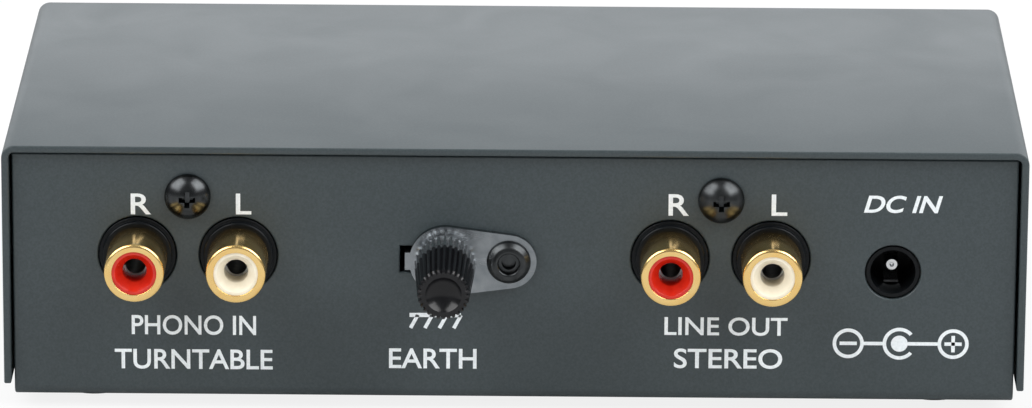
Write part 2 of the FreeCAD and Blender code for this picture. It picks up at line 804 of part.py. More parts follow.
def make_jack(name, x):
    """Plated shell, coloured insert with a funnel mouth, and the spring sleeve inside it."""
    back = "-Sizes.sheet_gauge - Sizes.jack_depth"
    tip = "Sizes.jack_reach"
    tail_end = f"{BOARD_Z} - Sizes.board_gauge - Sizes.solder_tail - ({JACK_Z})"
    shell_tube = turned_tube(tip, back)
    tail_x = "Sizes.shell_bore - Sizes.shell_tail_width / 2"
    tail = box(tail_x, tail_end, f"{back} - Sizes.shell_tail_gauge", "Sizes.shell_tail_width",
               f"-({tail_end}) - Sizes.shell_bore / 2", "Sizes.shell_tail_gauge")
    foot = box(tail_x, "-Sizes.shell_bore / 2",
               f"{back} - Sizes.shell_tail_gauge", "Sizes.shell_tail_width",
               "Sizes.shell_tail_width", "Sizes.shell_tail_gauge")
    shell = put(fuse(shell_tube, tail, foot), x, PANEL_Y, JACK_Z, OUT_OF_REAR)
    node(shell, f"{name}_shell")

    insert_radius = "Sizes.shell_bore - Sizes.seat_gap"
    face = f"{tip} - Sizes.insert_recess"
    funnel_end = f"{face} - Sizes.insert_funnel_depth"
    bore_end = f"{face} - Sizes.insert_bore_depth"
    contact_end = f"{back} + Sizes.contact_wall * 2"
    contact_bore = "Sizes.contact_radius + Sizes.seat_gap"
    insert = turned(f"{name}_insert", [
        ("Sizes.contact_pin_radius + Sizes.seat_gap", back),
        (insert_radius, back),
        (insert_radius, face),
        (f"{insert_radius} - Sizes.insert_rim", face),
        ("Sizes.insert_bore", funnel_end),
        ("Sizes.insert_bore", bore_end),
        (contact_bore, bore_end),
        (contact_bore, contact_end),
        ("Sizes.contact_pin_radius + Sizes.seat_gap", contact_end),
    ])
    put(insert, x, PANEL_Y, JACK_Z, OUT_OF_REAR)

    mouth = f"{bore_end} - Sizes.seat_gap"
    sleeve_end = f"{contact_end} + Sizes.seat_gap"
    sleeve = cut(
        rod("Sizes.contact_radius", sleeve_end, mouth),
        rod("Sizes.contact_bore", f"{sleeve_end} + Sizes.contact_wall",
            f"{mouth} + 1"),
        box("-Sizes.contact_radius", "-Sizes.contact_wall / 2",
            f"{sleeve_end} + 2 * Sizes.contact_wall", "2 * Sizes.contact_radius",
            "Sizes.contact_wall", f"({mouth}) - ({sleeve_end})"),
    )
    gauge = "Sizes.contact_tail_gauge"
    stem_end = f"{back} - 2 * {gauge}"
    stem = rod("Sizes.contact_pin_radius", stem_end, f"{sleeve_end} + Sizes.contact_wall")
    pin_wide = "Sizes.contact_pin_radius"
    drop = box(f"-{pin_wide}", tail_end, stem_end, f"2 * {pin_wide}", f"-({tail_end})", gauge)
    contact = put(fuse(sleeve, stem, drop), x, PANEL_Y, JACK_Z, OUT_OF_REAR)
    node(contact, f"{name}_contact")


def turned_tube(tip, back):
    """The shell's tube: a neck held in the moulding, then the collar with its eased lip."""
    lip = "Sizes.shell_lip"
    shoulder = "Sizes.nose_proud + Sizes.seat_gap"
    outer = fuse(
        rod(SHELL_NECK, back, shoulder),
        rod("Sizes.shell_radius", shoulder, f"{tip} - {lip}"),
        cone("Sizes.shell_radius", f"Sizes.shell_radius - {lip} / 2", f"{tip} - {lip}", tip),
    )
    return cut(outer, rod("Sizes.shell_bore", f"{back} - 1", f"{tip} + 1"))


# Ground terminal


def make_ground_plate():
    """Plated lug: round at the stud and at the rivet, with a tab folded in through a slot."""
    body = new_body("ground_plate")
    big, small, span = "Sizes.plate_stud_radius", "Sizes.plate_rivet_radius", "Sizes.rivet_spacing"
    lean = f"asin(({big} - {small}) / {span})"
    profile = new_sketch(body, "XY_Plane", "0")
    outline(profile, [
        (f"{big} * sin({lean})", f"{big} * cos({lean})"),
        (f"-{big}", "0", big),
        (f"{big} * sin({lean})", f"-{big} * cos({lean})", big),
        (f"{span} + {small} * sin({lean})", f"-{small} * cos({lean})"),
        (f"{span} + {small}", "0", small),
        (f"{span} + {small} * sin({lean})", f"{small} * cos({lean})", small),
    ])
    pad(body, profile, "Sizes.plate_gauge")
    tab = new_sketch(body, "XY_Plane", "0")
    left = f"-{big} - Sizes.tab_side"
    high = "Sizes.tab_height / 2"
    outline(tab, [(left, f"-{high}"), (f"-{big} / 2", f"-{high}"), (f"-{big} / 2", high),
                  (left, high)])
    pad(body, tab, "Sizes.plate_gauge")
    leg = new_sketch(body, "XY_Plane", "-Sizes.sheet_gauge - Sizes.tab_reach")
    right = f"{left} + Sizes.plate_gauge"
    outline(leg, [(left, f"-{high}"), (right, f"-{high}"), (right, high), (left, high)])
    pad(body, leg, "Sizes.sheet_gauge + Sizes.tab_reach + Sizes.plate_gauge")
    corner, front = value(left), value("Sizes.plate_gauge")
    round_edges(body, "Sizes.plate_gauge / 2", lambda b: (
        near(b.XMin, corner) and near(b.XMax, corner)
        and near(b.ZMin, front) and near(b.ZMax, front)
    ))
    holes = new_sketch(body, "XY_Plane", "2 * Sizes.plate_gauge")
    circles(holes, [
        ("0", "0", "Sizes.stud_radius + Sizes.stud_hole_clearance"),
        (span, "0", RIVET_HOLE),
    ])
    pocket(body, holes, "3 * Sizes.plate_gauge")
    put(body, "Sizes.stud_x", PANEL_Y, GROUND_Z, OUT_OF_REAR)


def make_rivet():
    """Black hollow rivet through the plate, with what is left of its mandrel inside."""
    face = "Sizes.plate_gauge"
    inside = "-Sizes.sheet_gauge"
    blind = f"{inside} - Sizes.rivet_bulb_length"
    crown = f"{face} + Sizes.rivet_head_height"
    mouth = f"{crown} - Sizes.rivet_mouth_depth"
    bore = "Sizes.rivet_bore_radius"
    rivet = turned("ground_rivet", [
        (bore, blind),
        ("Sizes.rivet_shank_radius", blind),
        ("Sizes.rivet_bulb_radius", f"{inside} - Sizes.rivet_bulb_length / 2"),
        ("Sizes.rivet_bulb_radius", inside),
        ("Sizes.rivet_shank_radius", inside),
        ("Sizes.rivet_shank_radius", face),
        ("Sizes.rivet_head_radius", face),
        ("Sizes.rivet_mouth_radius", crown, "Sizes.rivet_head_radius"),
        ("Sizes.rivet_mouth_radius", mouth),
        (bore, mouth),
    ])
    x = "Sizes.stud_x + Sizes.rivet_spacing"
    put(rivet, x, PANEL_Y, GROUND_Z, OUT_OF_REAR)
    pin = rod(f"{bore} - Sizes.seat_gap", f"{blind} - {bore}", f"{mouth} - {bore}")
    ball = rod("Sizes.rivet_shank_radius", f"{blind} - 2 * {bore}", f"{blind} - Sizes.seat_gap")
    node(put(fuse(pin, ball), x, PANEL_Y, GROUND_Z, OUT_OF_REAR), "rivet_mandrel")


def make_terminal_knob():
    """Fixed stud with its nut, and the washer, plated skirt and moulded knob that run on it."""
    nut_low = "-Sizes.sheet_gauge - Sizes.nut_height"
    nut = cut(
        hexagon("Sizes.nut_flats", nut_low, "-Sizes.sheet_gauge"),
        rod("Sizes.stud_radius + Sizes.stud_fit", f"{nut_low} - 1", "0"),
    )
    node(put(nut, "Sizes.stud_x", PANEL_Y, GROUND_Z, OUT_OF_REAR), "ground_nut")

    washer_low = "Sizes.plate_gauge"
    washer_high = f"{washer_low} + Sizes.washer_gauge"
    washer = cut(
        rod("Sizes.washer_radius", washer_low, washer_high),
        rod("Sizes.stud_radius + Sizes.stud_fit", "0", f"{washer_high} + 1"),
    )
    node(put(washer, "Sizes.stud_x", PANEL_Y, GROUND_Z, OUT_OF_REAR), "ground_washer")

    base = f"{washer_high} + Sizes.knob_neck"
    tip = f"{base} + Sizes.knob_length"
    stud_top = f"{base} + Sizes.stud_in_knob"
    stud_end = f"{nut_low} - Sizes.stud_past_nut"
    lead_in = "Sizes.stud_radius / 2"
    stud = fuse(
        rod("Sizes.stud_radius", f"{stud_end} + {lead_in}", stud_top),
        cone("Sizes.stud_radius - Sizes.stud_radius / 4", "Sizes.stud_radius",
             stud_end, f"{stud_end} + {lead_in}"),
    )
    node(put(stud, "Sizes.stud_x", PANEL_Y, GROUND_Z, OUT_OF_REAR), "ground_stud")

    bore = "Sizes.stud_radius + Sizes.stud_fit"
    blind = f"{stud_top} + Sizes.stud_tip_gap"
    cut_off = "Sizes.knob_chamfer"
    dish, deep = "Sizes.knob_dish_radius", "Sizes.knob_dish_depth"
    dish_sphere = f"({dish} * {dish} + {deep} * {deep}) / (2 * {deep})"
    split = f"{base} + Sizes.skirt_length"
    narrowing = "(Sizes.knob_base_radius - Sizes.knob_tip_radius)"
    share = f"(Sizes.skirt_length - {cut_off}) / (Sizes.knob_length - 2 * {cut_off})"
    split_radius = f"Sizes.knob_base_radius - {narrowing} * {share}"
    skirt = turned("ground_skirt", [
        (bore, washer_high),
        ("Sizes.knob_neck_radius", washer_high),
        ("Sizes.knob_neck_radius", base),
        (f"Sizes.knob_base_radius - {cut_off}", base),
        ("Sizes.knob_base_radius", f"{base} + {cut_off}"),
        (split_radius, split),
        (bore, split),
    ])
    knob = turned("ground_knob", [
        (bore, split),
        (split_radius, split),
        ("Sizes.knob_tip_radius", f"{tip} - {cut_off}"),
        (f"Sizes.knob_tip_radius - {cut_off}", tip),
        (dish, tip),
        ("0", f"{tip} - {deep}"),
        ("0", blind),
        (bore, blind),
    ])
    doc.recompute()
    hollow = knob.newObject("PartDesign::SubtractiveSphere", "dish")
    hollow.AttachmentSupport = [(origin_item(knob, "XY_Plane"), "")]
    hollow.MapMode = "FlatFace"
    hollow.setExpression("Radius", dish_sphere)
    hollow.setExpression("AttachmentOffset.Base.z", f"{tip} - {deep} + {dish_sphere}")
    knob.Tip = hollow
    doc.recompute()
    for body in (skirt, knob):
        cut_teeth(body, base, tip)
        put(body, "Sizes.stud_x", PANEL_Y, GROUND_Z, OUT_OF_REAR)


def cut_teeth(body, base, tip):
    """Cut the knurl's tooth gaps, which run the knob's whole length, into one of its bodies."""

    def tooth_gap(level, radius):
        sketch = new_sketch(body, "XY_Plane", level)
        half = f"Sizes.knurl_width / 2 * ({radius}) / Sizes.knob_base_radius"
        outer = f"{radius} + Sizes.knurl_depth / 4"
        outline(sketch, [(f"{radius} - Sizes.knurl_depth", "0"), (outer, f"-({half})"),
                         (outer, half)])
        return sketch

    gap = body.newObject("PartDesign::SubtractiveLoft", "tooth_gap")
    gap.Profile = tooth_gap(base, "Sizes.knob_base_radius")
    gap.Sections = [tooth_gap(tip, "Sizes.knob_tip_radius")]
    gap.Ruled = True
    doc.recompute()
    ring = body.newObject("PartDesign::PolarPattern", "teeth")
    ring.Originals = [gap]
    ring.Axis = (origin_item(body, "Z_Axis"), [""])
    ring.Angle = 360
    ring.setExpression("Occurrences", "Sizes.knurl_count")
    body.Tip = ring


def make_ground_lead():
    """Insulated wire from the plate's tab, inside the case, down to the board."""
    body = new_body("ground_lead")
    start_y = f"{INNER_Y} + Sizes.tab_reach"
    bend_y = f"{start_y} + Sizes.wire_run"
    far_y = f"{bend_y} + Sizes.wire_bend"
    low_z = f"{GROUND_Z} - Sizes.wire_bend"
    x = "Sizes.stud_x - Sizes.plate_stud_radius - Sizes.tab_side + Sizes.plate_gauge / 2"
    path = new_sketch(body, "YZ_Plane", x)
    points = [(start_y, GROUND_Z), (bend_y, GROUND_Z), (far_y, low_z), (far_y, BOARD_Z)]
    (ay, az), (by, bz), (cy, cz), (dy, dz) = [(value(y), value(z)) for y, z in points]
    path.addGeometry(Part.LineSegment(Vector(ay, az, 0), Vector(by, bz, 0)), False)
    bend = value("Sizes.wire_bend")
    circle = Part.Circle(Vector(by, cz, 0), Vector(0, 0, 1), bend)
    path.addGeometry(Part.ArcOfCircle(circle, 0, math.pi / 2), False)
    path.addGeometry(Part.LineSegment(Vector(cy, cz, 0), Vector(dy, dz, 0)), False)
    path.addConstraint(Sketcher.Constraint("Coincident", 0, 2, 1, 2))
    path.addConstraint(Sketcher.Constraint("Coincident", 1, 1, 2, 1))
    pin_point(path, 0, 1, *points[0])
    pin_point(path, 0, 2, *points[1])
    pin_point(path, 2, 1, *points[2])
    pin_point(path, 2, 2, *points[3])
    index = path.addConstraint(Sketcher.Constraint("Radius", 1, bend))
    path.setExpression(f"Constraints[{index}]", "Sizes.wire_bend")
    section = new_sketch(body, "XZ_Plane", f"-({start_y})")
    circles(section, [(x, GROUND_Z, "Sizes.wire_radius")])
    doc.recompute()
    pipe = body.newObject("PartDesign::AdditivePipe", "wire")
    pipe.Profile = section
    pipe.Spine = path
    body.Tip = pipe


# Power socket


def make_dc_jack():
    """Moulded socket behind the panel hole, its centre pin and its leaf contact."""
    board = f"{BOARD_Z} - ({DC_Z})"
    mouth = "-Sizes.dc_nose_recess"
    behind = "-Sizes.sheet_gauge"
    back = "-Sizes.sheet_gauge - Sizes.dc_depth"
    cavity_end = f"{mouth} - Sizes.dc_bore_depth"
    half = "Sizes.dc_width / 2"
    leaf_low = "-Sizes.dc_leaf_drop - Sizes.dc_leaf_gauge"
    leaf_half = "Sizes.dc_leaf_width / 2"
    gap = "Sizes.seat_gap"
    housing = cut(
        fuse(
            box(f"-{half}", board, back, "Sizes.dc_width", f"Sizes.dc_rise - ({board})",
                "Sizes.dc_depth"),
            rod("Sizes.dc_nose_radius", behind, mouth),
        ),
        rod("Sizes.dc_bore", cavity_end, "1"),
        rod(f"Sizes.dc_pin_radius + {gap}", f"{back} - 1", "0"),
        box(f"-{leaf_half} - {gap}", f"{leaf_low} - {gap}", f"{back} - 1",
            f"2 * ({leaf_half} + {gap})", f"Sizes.dc_leaf_gauge + 2 * {gap}",
            f"({cavity_end}) - ({back}) + 2"),
    )
    node(put(housing, "Sizes.dc_x", PANEL_Y, DC_Z, OUT_OF_REAR), "dc_jack_housing")

    tail_end = f"{board} - Sizes.board_gauge - Sizes.solder_tail"
    tail = "Sizes.dc_tail_gauge"
    pin_tip = f"-Sizes.dc_pin_recess"
    radius = "Sizes.dc_pin_radius"
    pin_tail = f"{back} - 4 * {tail}"
    tip_ball = doc.addObject("Part::Sphere", "tip_ball")
    tip_ball.setExpression("Radius", radius)
    put(tip_ball, "0", "0", f"{pin_tip} - {radius}")
    pin = fuse(
        rod(radius, pin_tail, f"{pin_tip} - {radius}"),
        tip_ball,
        box("-Sizes.dc_tail_width / 2", tail_end, pin_tail, "Sizes.dc_tail_width",
            f"{radius} - ({tail_end})", tail),
    )
    node(put(pin, "Sizes.dc_x", PANEL_Y, DC_Z, OUT_OF_REAR), "dc_jack_pin")

    leaf_back = f"{back} - {tail}"
    leaf = fuse(
        box(f"-{leaf_half}", leaf_low, leaf_back, f"2 * {leaf_half}", "Sizes.dc_leaf_gauge",
            f"-Sizes.dc_leaf_recess - ({leaf_back})"),
        box(f"-{leaf_half}", tail_end, leaf_back, f"2 * {leaf_half}",
            f"{leaf_low} + Sizes.dc_leaf_gauge - ({tail_end})", tail),
    )
    node(put(leaf, "Sizes.dc_x", PANEL_Y, DC_Z, OUT_OF_REAR), "dc_jack_leaf")


# Circuit board and components


def solder_holes():
    """Where the jack and socket tails pass through the board."""
    back = f"{INNER_Y} + Sizes.jack_depth"
    hole = "Sizes.solder_hole_radius"
    holes = []
    for pair in ("Sizes.input_pair_x", "Sizes.output_pair_x"):
        for sign in ("-", "+"):
            x = f"{pair} {sign} Sizes.jack_pitch / 2"
            stem = f"{back} + Sizes.contact_tail_gauge * 3 / 2"
            holes.append((x, stem, hole))
            tail = f"{back} + Sizes.shell_tail_gauge / 2"
            holes.append((f"{x} + Sizes.shell_bore", tail, hole))
    return holes


def make_board():
    body = new_body("circuit_board")
    half = "Sizes.board_width / 2"
    far = f"{BOARD_Y} + Sizes.board_depth"
    sheet_outline = new_sketch(body, "XY_Plane", f"{BOARD_Z} - Sizes.board_gauge")
    outline(sheet_outline, [
        (f"-{half}", BOARD_Y), (half, BOARD_Y), (half, far), (f"-{half}", far),
    ])
    pad(body, sheet_outline, "Sizes.board_gauge")
    edge = value(half)
    round_edges(body, "Sizes.board_corner", lambda b: (
        b.ZLength > 1e-4 and near(abs(b.XMin), edge) and near(b.XLength, 0)
        and near(b.YLength, 0)
    ))
    holes = new_sketch(body, "XY_Plane", f"{BOARD_Z} + Sizes.board_gauge")
    screw_hole = "Sizes.screw_radius + Sizes.screw_clearance"
    circles(holes, [(x, y, screw_hole) for x, y in board_holes()])
    circles(holes, solder_holes())
    dc_back = f"{INNER_Y} + Sizes.dc_depth"
    tail = "Sizes.dc_tail_gauge"
    slot_half = "Sizes.dc_tail_width / 2 + Sizes.solder_hole_radius / 2"
    outline(holes, [
        (f"Sizes.dc_x - ({slot_half})", f"{dc_back} - {tail}"),
        (f"Sizes.dc_x + ({slot_half})", f"{dc_back} - {tail}"),
        (f"Sizes.dc_x + ({slot_half})", f"{dc_back} + 5 * {tail}"),
        (f"Sizes.dc_x - ({slot_half})", f"{dc_back} + 5 * {tail}"),
    ])
    pocket(body, holes, "3 * Sizes.board_gauge")


def make_chip():
    """Dual amplifier in a dual in-line case, standing in its socket."""
    length, width = "Sizes.chip_length", "Sizes.chip_width"
    margin = "Sizes.socket_margin"
    socket = box(f"-{length} / 2 - {margin}", f"-{width} / 2 - {margin}", "0",
                 f"{length} + 2 * {margin}", f"{width} + 2 * {margin}", "Sizes.socket_height")
    well = box(f"-{length} / 4", f"-{width} / 4", "-1", f"{length} / 2", f"{width} / 2",
               "Sizes.socket_height + 2")
    y = f"{BOARD_Y} + Sizes.chip_y"
    node(put(cut(socket, well), "0", y, BOARD_Z), "chip_socket")
    gauge = "Sizes.chip_leg_gauge"
    legs = []
    for column in range(int(value("Sizes.chip_leg_rows"))):
        x = f"({column} - (Sizes.chip_leg_rows - 1) / 2) * Sizes.chip_leg_pitch"
        for side in (f"-{width} / 2 - {gauge}", f"{width} / 2"):
            legs.append(box(f"{x} - Sizes.chip_leg_width / 2", side, "0",
                            "Sizes.chip_leg_width", gauge, "Sizes.chip_height / 2 + 0.4"))
    case = box(f"-{length} / 2", f"-{width} / 2", "0.4", length, width, "Sizes.chip_height")
    notch = rod("Sizes.chip_notch", "Sizes.chip_height", "Sizes.chip_height + 1",
                f"-{length} / 2")
    chip = fuse(cut(case, notch), *legs)
    node(put(chip, "0", y, f"{BOARD_Z} + Sizes.socket_height"), "amplifier_chip")


def make_regulator():
    """Three-legged regulator with a drilled metal tab, standing on its legs."""
    width, gauge = "Sizes.regulator_width", "Sizes.regulator_gauge"
    stand = "Sizes.regulator_stand"
    tab = "Sizes.regulator_tab_gauge"
    case = box(f"-{width} / 2", "0", stand, width, gauge, "Sizes.regulator_height")
    plate = cut(
        box(f"-{width} / 2", f"-{tab} / 2", f"{stand} + 0.5", width, tab,
            "Sizes.regulator_tab_height - 0.5"),
        along_y(f"{width} / 5", f"{stand} + Sizes.regulator_tab_height - {width} / 3", tab),
    )
    leg = "Sizes.regulator_leg_width"
    legs = [
        box(f"{index} * Sizes.regulator_leg_pitch - {leg} / 2", f"{gauge} / 2 - {leg} / 2", "0",
            leg, leg, f"{stand} + 1")
        for index in (-1, 0, 1)
    ]
    regulator = fuse(case, plate, *legs)
    y = f"{BOARD_Y} + Sizes.regulator_y"
    node(put(regulator, "Sizes.regulator_x", y, BOARD_Z), "regulator")


def along_y(radius, height, reach):
    """A bar along Y through the origin plane, used to drill a plate."""
    bar = doc.addObject("Part::Cylinder", "drill")
    bar.setExpression("Radius", radius)
    bar.setExpression("Height", f"4 * {reach}")
    return put(bar, "0", f"2 * {reach}", height, OUT_OF_REAR)


def make_can(name, x, y, radius, height):
    """Electrolytic capacitor: crimped can on two leads."""
    low, crimp = "Sizes.can_stand", "Sizes.can_crimp"
    throat = f"{low} + 3 * {crimp}"
    can = cut(
        rod(radius, low, height),
        cut(rod(f"{radius} + 1", f"{throat} - {crimp}", f"{throat} + {crimp}"),
            rod(f"{radius} - {crimp}", low, height)),
    )
    leads = [rod("Sizes.can_lead_radius", "0", f"{low} + {crimp}", f"{sign}({radius}) / 3")
             for sign in ("-", "")]
    node(put(fuse(can, *leads), x, f"{BOARD_Y} + {y}", BOARD_Z), name)


def make_film(name, x, y):
    """Dipped film capacitor with rounded edges on two leads."""
    body = new_body(name)
    half, wide = "Sizes.film_length / 2", "Sizes.film_width / 2"
    profile = new_sketch(body, "XY_Plane", "Sizes.film_stand")
    outline(profile, [
        (f"-{half}", f"-{wide}"), (half, f"-{wide}"), (half, wide), (f"-{half}", wide),
    ])
    pad(body, profile, "Sizes.film_height")
    round_edges(body, "Sizes.film_round", lambda b: True)
    leads = new_sketch(body, "XY_Plane", "0")
    circles(leads, [(f"{sign}({half}) * 2 / 3", "0", "Sizes.can_lead_radius")
                    for sign in ("-", "")])
    pad(body, leads, "Sizes.film_stand + Sizes.film_round")
    put(body, x, f"{BOARD_Y} + {y}", BOARD_Z)


def make_axial(name, x, y, radius, length, span, cap):
    """A part lying between two bent leads: a body with slightly larger end caps."""
    lift = f"{radius} + {cap} + Sizes.axial_gap"
    lead = "Sizes.axial_lead_radius"
    pieces = [
        lying(radius, f"-({length}) / 2", length, lift),
        lying(f"{radius} + {cap}", f"-({length}) / 2", f"{length} / 4", lift),
        lying(f"{radius} + {cap}", f"{length} / 4", f"{length} / 4", lift),
        lying(lead, f"-({span}) / 2", span, lift),
    ]
    for sign in ("-", ""):
        end = f"{sign}({span}) / 2"
        corner = doc.addObject("Part::Sphere", "corner")
        corner.setExpression("Radius", lead)
        pieces.append(put(corner, end, "0", lift))
        pieces.append(rod(lead, "0", lift, end))
    node(put(fuse(*pieces), x, f"{BOARD_Y} + {y}", BOARD_Z), name)


def lying(radius, start, length, lift):
    """A bar along X at the height of an axial part."""
    bar = doc.addObject("Part::Cylinder", "bar")
    bar.setExpression("Radius", str(radius))
    bar.setExpression("Height", str(length))
    return put(bar, start, "0", lift, OUT_OF_RIGHT)


def make_light():
    """Power light in the front panel, with two leads bent down to the board."""
    tip = "Sizes.led_proud"
    dome_low = f"{tip} - Sizes.led_radius"
    root = f"{tip} - Sizes.led_length"
    light = turned("power_light", [
        ("0", root),
        ("Sizes.led_rim_radius", root),
        ("Sizes.led_rim_radius", f"{root} + Sizes.led_rim"),
        ("Sizes.led_radius", f"{root} + Sizes.led_rim"),
        ("Sizes.led_radius", dome_low),
        ("0", tip, "Sizes.led_radius"),
    ])
    put(light, "Sizes.led_x", FRONT_Y, LED_Z, OUT_OF_FRONT)
    wide = "Sizes.led_lead_width"
    run_y = f"{FRONT_Y} + {root} - Sizes.led_lead_run"
    leads = []
    for sign in ("-", "+"):
        x = f"Sizes.led_x {sign} Sizes.led_lead_spacing / 2 - {wide} / 2"
        flat = box(x, run_y, f"{LED_Z} - {wide} / 2", wide, "Sizes.led_lead_run", wide)
        drop = box(x, run_y, BOARD_Z, wide, wide, f"{LED_Z} + {wide} / 2 - ({BOARD_Z})")
        leads.append(fuse(flat, drop))
    node(group(*leads), "power_light_leads")


CANS = (
    "supply_capacitor",
    "positive_rail_capacitor",
    "negative_rail_capacitor",
    "right_output_capacitor",
    "left_output_capacitor",
)

make_chassis()
make_cover()
make_feet()
make_screws()
make_standoffs()
make_jack_pair("input", "Sizes.input_pair_x")
make_jack_pair("output", "Sizes.output_pair_x")
make_ground_plate()
make_rivet()
make_terminal_knob()
make_ground_lead()
make_dc_jack()
make_board()
make_chip()
make_regulator()
for can in CANS:
    make_can(can, f"Sizes.{can}_x", f"Sizes.{can}_y", f"Sizes.{can}_radius", f"Sizes.{can}_height")
for channel, side in (("right", "-"), ("left", "")):
    for row in (0, 1):
        film_y = f"Sizes.film_y + {row} * Sizes.film_row"
        make_film(f"{channel}_film_capacitor_{row + 1}", f"{side}(Sizes.film_x)", film_y)
    for row in (0, 1, 2):
        resistor_y = f"Sizes.resistor_y + {row} * Sizes.resistor_row"
        make_axial(f"{channel}_resistor_{row + 1}", f"{side}(Sizes.resistor_x)", resistor_y,
                   "Sizes.resistor_radius", "Sizes.resistor_length", "Sizes.resistor_span",
                   "Sizes.resistor_cap")
make_axial("supply_diode", "Sizes.diode_x", "Sizes.diode_y", "Sizes.diode_radius",
           "Sizes.diode_length", "Sizes.diode_span", "0")
make_light()

doc.recompute()
for item in doc.Objects:
    if "Invalid" in item.State or "Error" in item.State:
        raise ValueError(f"{item.Label} ({item.Name}) failed: {item.State}")
os.makedirs("parts", exist_ok=True)
for piece in nodes:
    shape = piece.Shape
    if shape.isNull() or not shape.isValid() or not shape.Solids:
        raise ValueError(f"{piece.Label} has no valid solid")
    shape.exportStep(f"parts/{piece.Label}.step")
    print(piece.Label, len(shape.Solids), "solid(s)", round(shape.Volume, 1), "mm3")
print(len(nodes), "pieces")
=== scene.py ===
# %% [markdown]
# A phono preamp is a small steel box that lifts the faint signal of a record player. This lesson
# dresses its solid model. The solids are exact in size, so most of them stay as they are and only
# get a finish. The pieces that catch the eye from the connector side are made again here, with the
# rounded lips, knurls and dished ends that make metal and moulded plastic look real.

# %% Load the frame
import json
import math

import bpy
from mathutils import Matrix, Vector


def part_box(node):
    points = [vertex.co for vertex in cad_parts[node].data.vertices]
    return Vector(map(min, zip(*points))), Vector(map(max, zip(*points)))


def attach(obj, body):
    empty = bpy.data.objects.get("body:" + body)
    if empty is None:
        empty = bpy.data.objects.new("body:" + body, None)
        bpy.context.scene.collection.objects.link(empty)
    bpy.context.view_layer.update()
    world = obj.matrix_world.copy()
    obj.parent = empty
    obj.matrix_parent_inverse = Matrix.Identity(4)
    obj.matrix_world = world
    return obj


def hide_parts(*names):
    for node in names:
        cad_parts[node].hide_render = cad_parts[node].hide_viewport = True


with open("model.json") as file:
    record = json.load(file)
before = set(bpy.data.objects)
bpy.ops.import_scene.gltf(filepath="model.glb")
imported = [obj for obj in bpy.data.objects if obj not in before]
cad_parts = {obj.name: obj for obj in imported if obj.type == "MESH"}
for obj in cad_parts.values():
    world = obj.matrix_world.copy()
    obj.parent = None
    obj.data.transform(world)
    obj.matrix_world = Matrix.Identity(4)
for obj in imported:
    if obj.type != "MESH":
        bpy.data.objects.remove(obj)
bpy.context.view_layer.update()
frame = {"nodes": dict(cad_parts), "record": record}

MM = 0.001
PLATE_GAUGE = 1.0
centre_line = {
    node: (low + high) / 2
    for node, (low, high) in ((name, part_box(name)) for name in frame["nodes"])
}
panel_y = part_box("ground_washer")[1].y + PLATE_GAUGE * MM

# %% [markdown]
# The photograph was taken with a long lens from about a metre away, a little above the panel. A long
# lens keeps parallel edges nearly parallel, so its length matters as much as the camera's place. The
# three angles turn the camera a hair to the right, well down, and a hair on its side.

# %% Camera
CAMERA_PLACE = Vector((4.632, -1005.61, 323.59)) * MM
CAMERA_YAW = math.radians(-0.263)
CAMERA_PITCH = math.radians(16.7246)
CAMERA_ROLL = math.radians(0.3693)
SENSOR_WIDTH = 36.0
LENS = 257.0

forward = Vector((
    math.sin(CAMERA_YAW) * math.cos(CAMERA_PITCH),
    math.cos(CAMERA_YAW) * math.cos(CAMERA_PITCH),
    -math.sin(CAMERA_PITCH),
))
level_right = Vector((math.cos(CAMERA_YAW), -math.sin(CAMERA_YAW), 0))
level_up = level_right.cross(forward)
right = level_right * math.cos(CAMERA_ROLL) + level_up * math.sin(CAMERA_ROLL)
up = level_up * math.cos(CAMERA_ROLL) - level_right * math.sin(CAMERA_ROLL)

lens = bpy.data.cameras.new("long_lens")
lens.sensor_width = SENSOR_WIDTH
lens.lens = LENS
lens.clip_start = 0.05
camera = bpy.data.objects.new("camera", lens)
axes = Matrix((right, up, -forward)).transposed().to_4x4()
camera.matrix_world = Matrix.Translation(CAMERA_PLACE) @ axes
bpy.context.scene.collection.objects.link(camera)
bpy.context.scene.camera = camera
print("camera looks along", [round(value, 3) for value in forward])

# %% [markdown]
# Every finish shares two effects. Fine grain is a small noise that mixes two colours, moves the
# roughness a little and gives a height for a bump. Handling marks are a slow noise that only moves
# the roughness, the way fingers and wiping leave a surface. Each is one node group, built once and
# placed in every material with its own values.

# %% Node groups for grain and handling marks
def new_group(name, inputs, outputs):
    group = bpy.data.node_groups.new(name, "ShaderNodeTree")
    for label, kind, start in inputs:
        socket = group.interface.new_socket(label, in_out="INPUT", socket_type=kind)
        if start is not None:
            socket.default_value = start
    for label, kind in outputs:
        group.interface.new_socket(label, in_out="OUTPUT", socket_type=kind)
    return group, group.nodes.new("NodeGroupInput"), group.nodes.new("NodeGroupOutput")


FLOAT, COLOUR, VECTOR = "NodeSocketFloat", "NodeSocketColor", "NodeSocketVector"

grain, grain_in, grain_out = new_group(
    "fine_grain",
    [("Place", VECTOR, None), ("Ground", COLOUR, (0.5, 0.5, 0.5, 1)), ("Fleck", COLOUR, (1, 1, 1, 1)),
     ("Scale", FLOAT, 1000.0), ("Coverage", FLOAT, 0.5), ("Sharpness", FLOAT, 0.2)],
    [("Colour", COLOUR), ("Height", FLOAT), ("Mask", FLOAT)],
)
noise = grain.nodes.new("ShaderNodeTexNoise")
noise.inputs["Detail"].default_value = 3.0
grain.links.new(grain_in.outputs["Place"], noise.inputs["Vector"])
grain.links.new(grain_in.outputs["Scale"], noise.inputs["Scale"])
low_edge = grain.nodes.new("ShaderNodeMath")
low_edge.operation = "SUBTRACT"
grain.links.new(grain_in.outputs["Coverage"], low_edge.inputs[0])
grain.links.new(grain_in.outputs["Sharpness"], low_edge.inputs[1])
high_edge = grain.nodes.new("ShaderNodeMath")
high_edge.operation = "ADD"
grain.links.new(grain_in.outputs["Coverage"], high_edge.inputs[0])
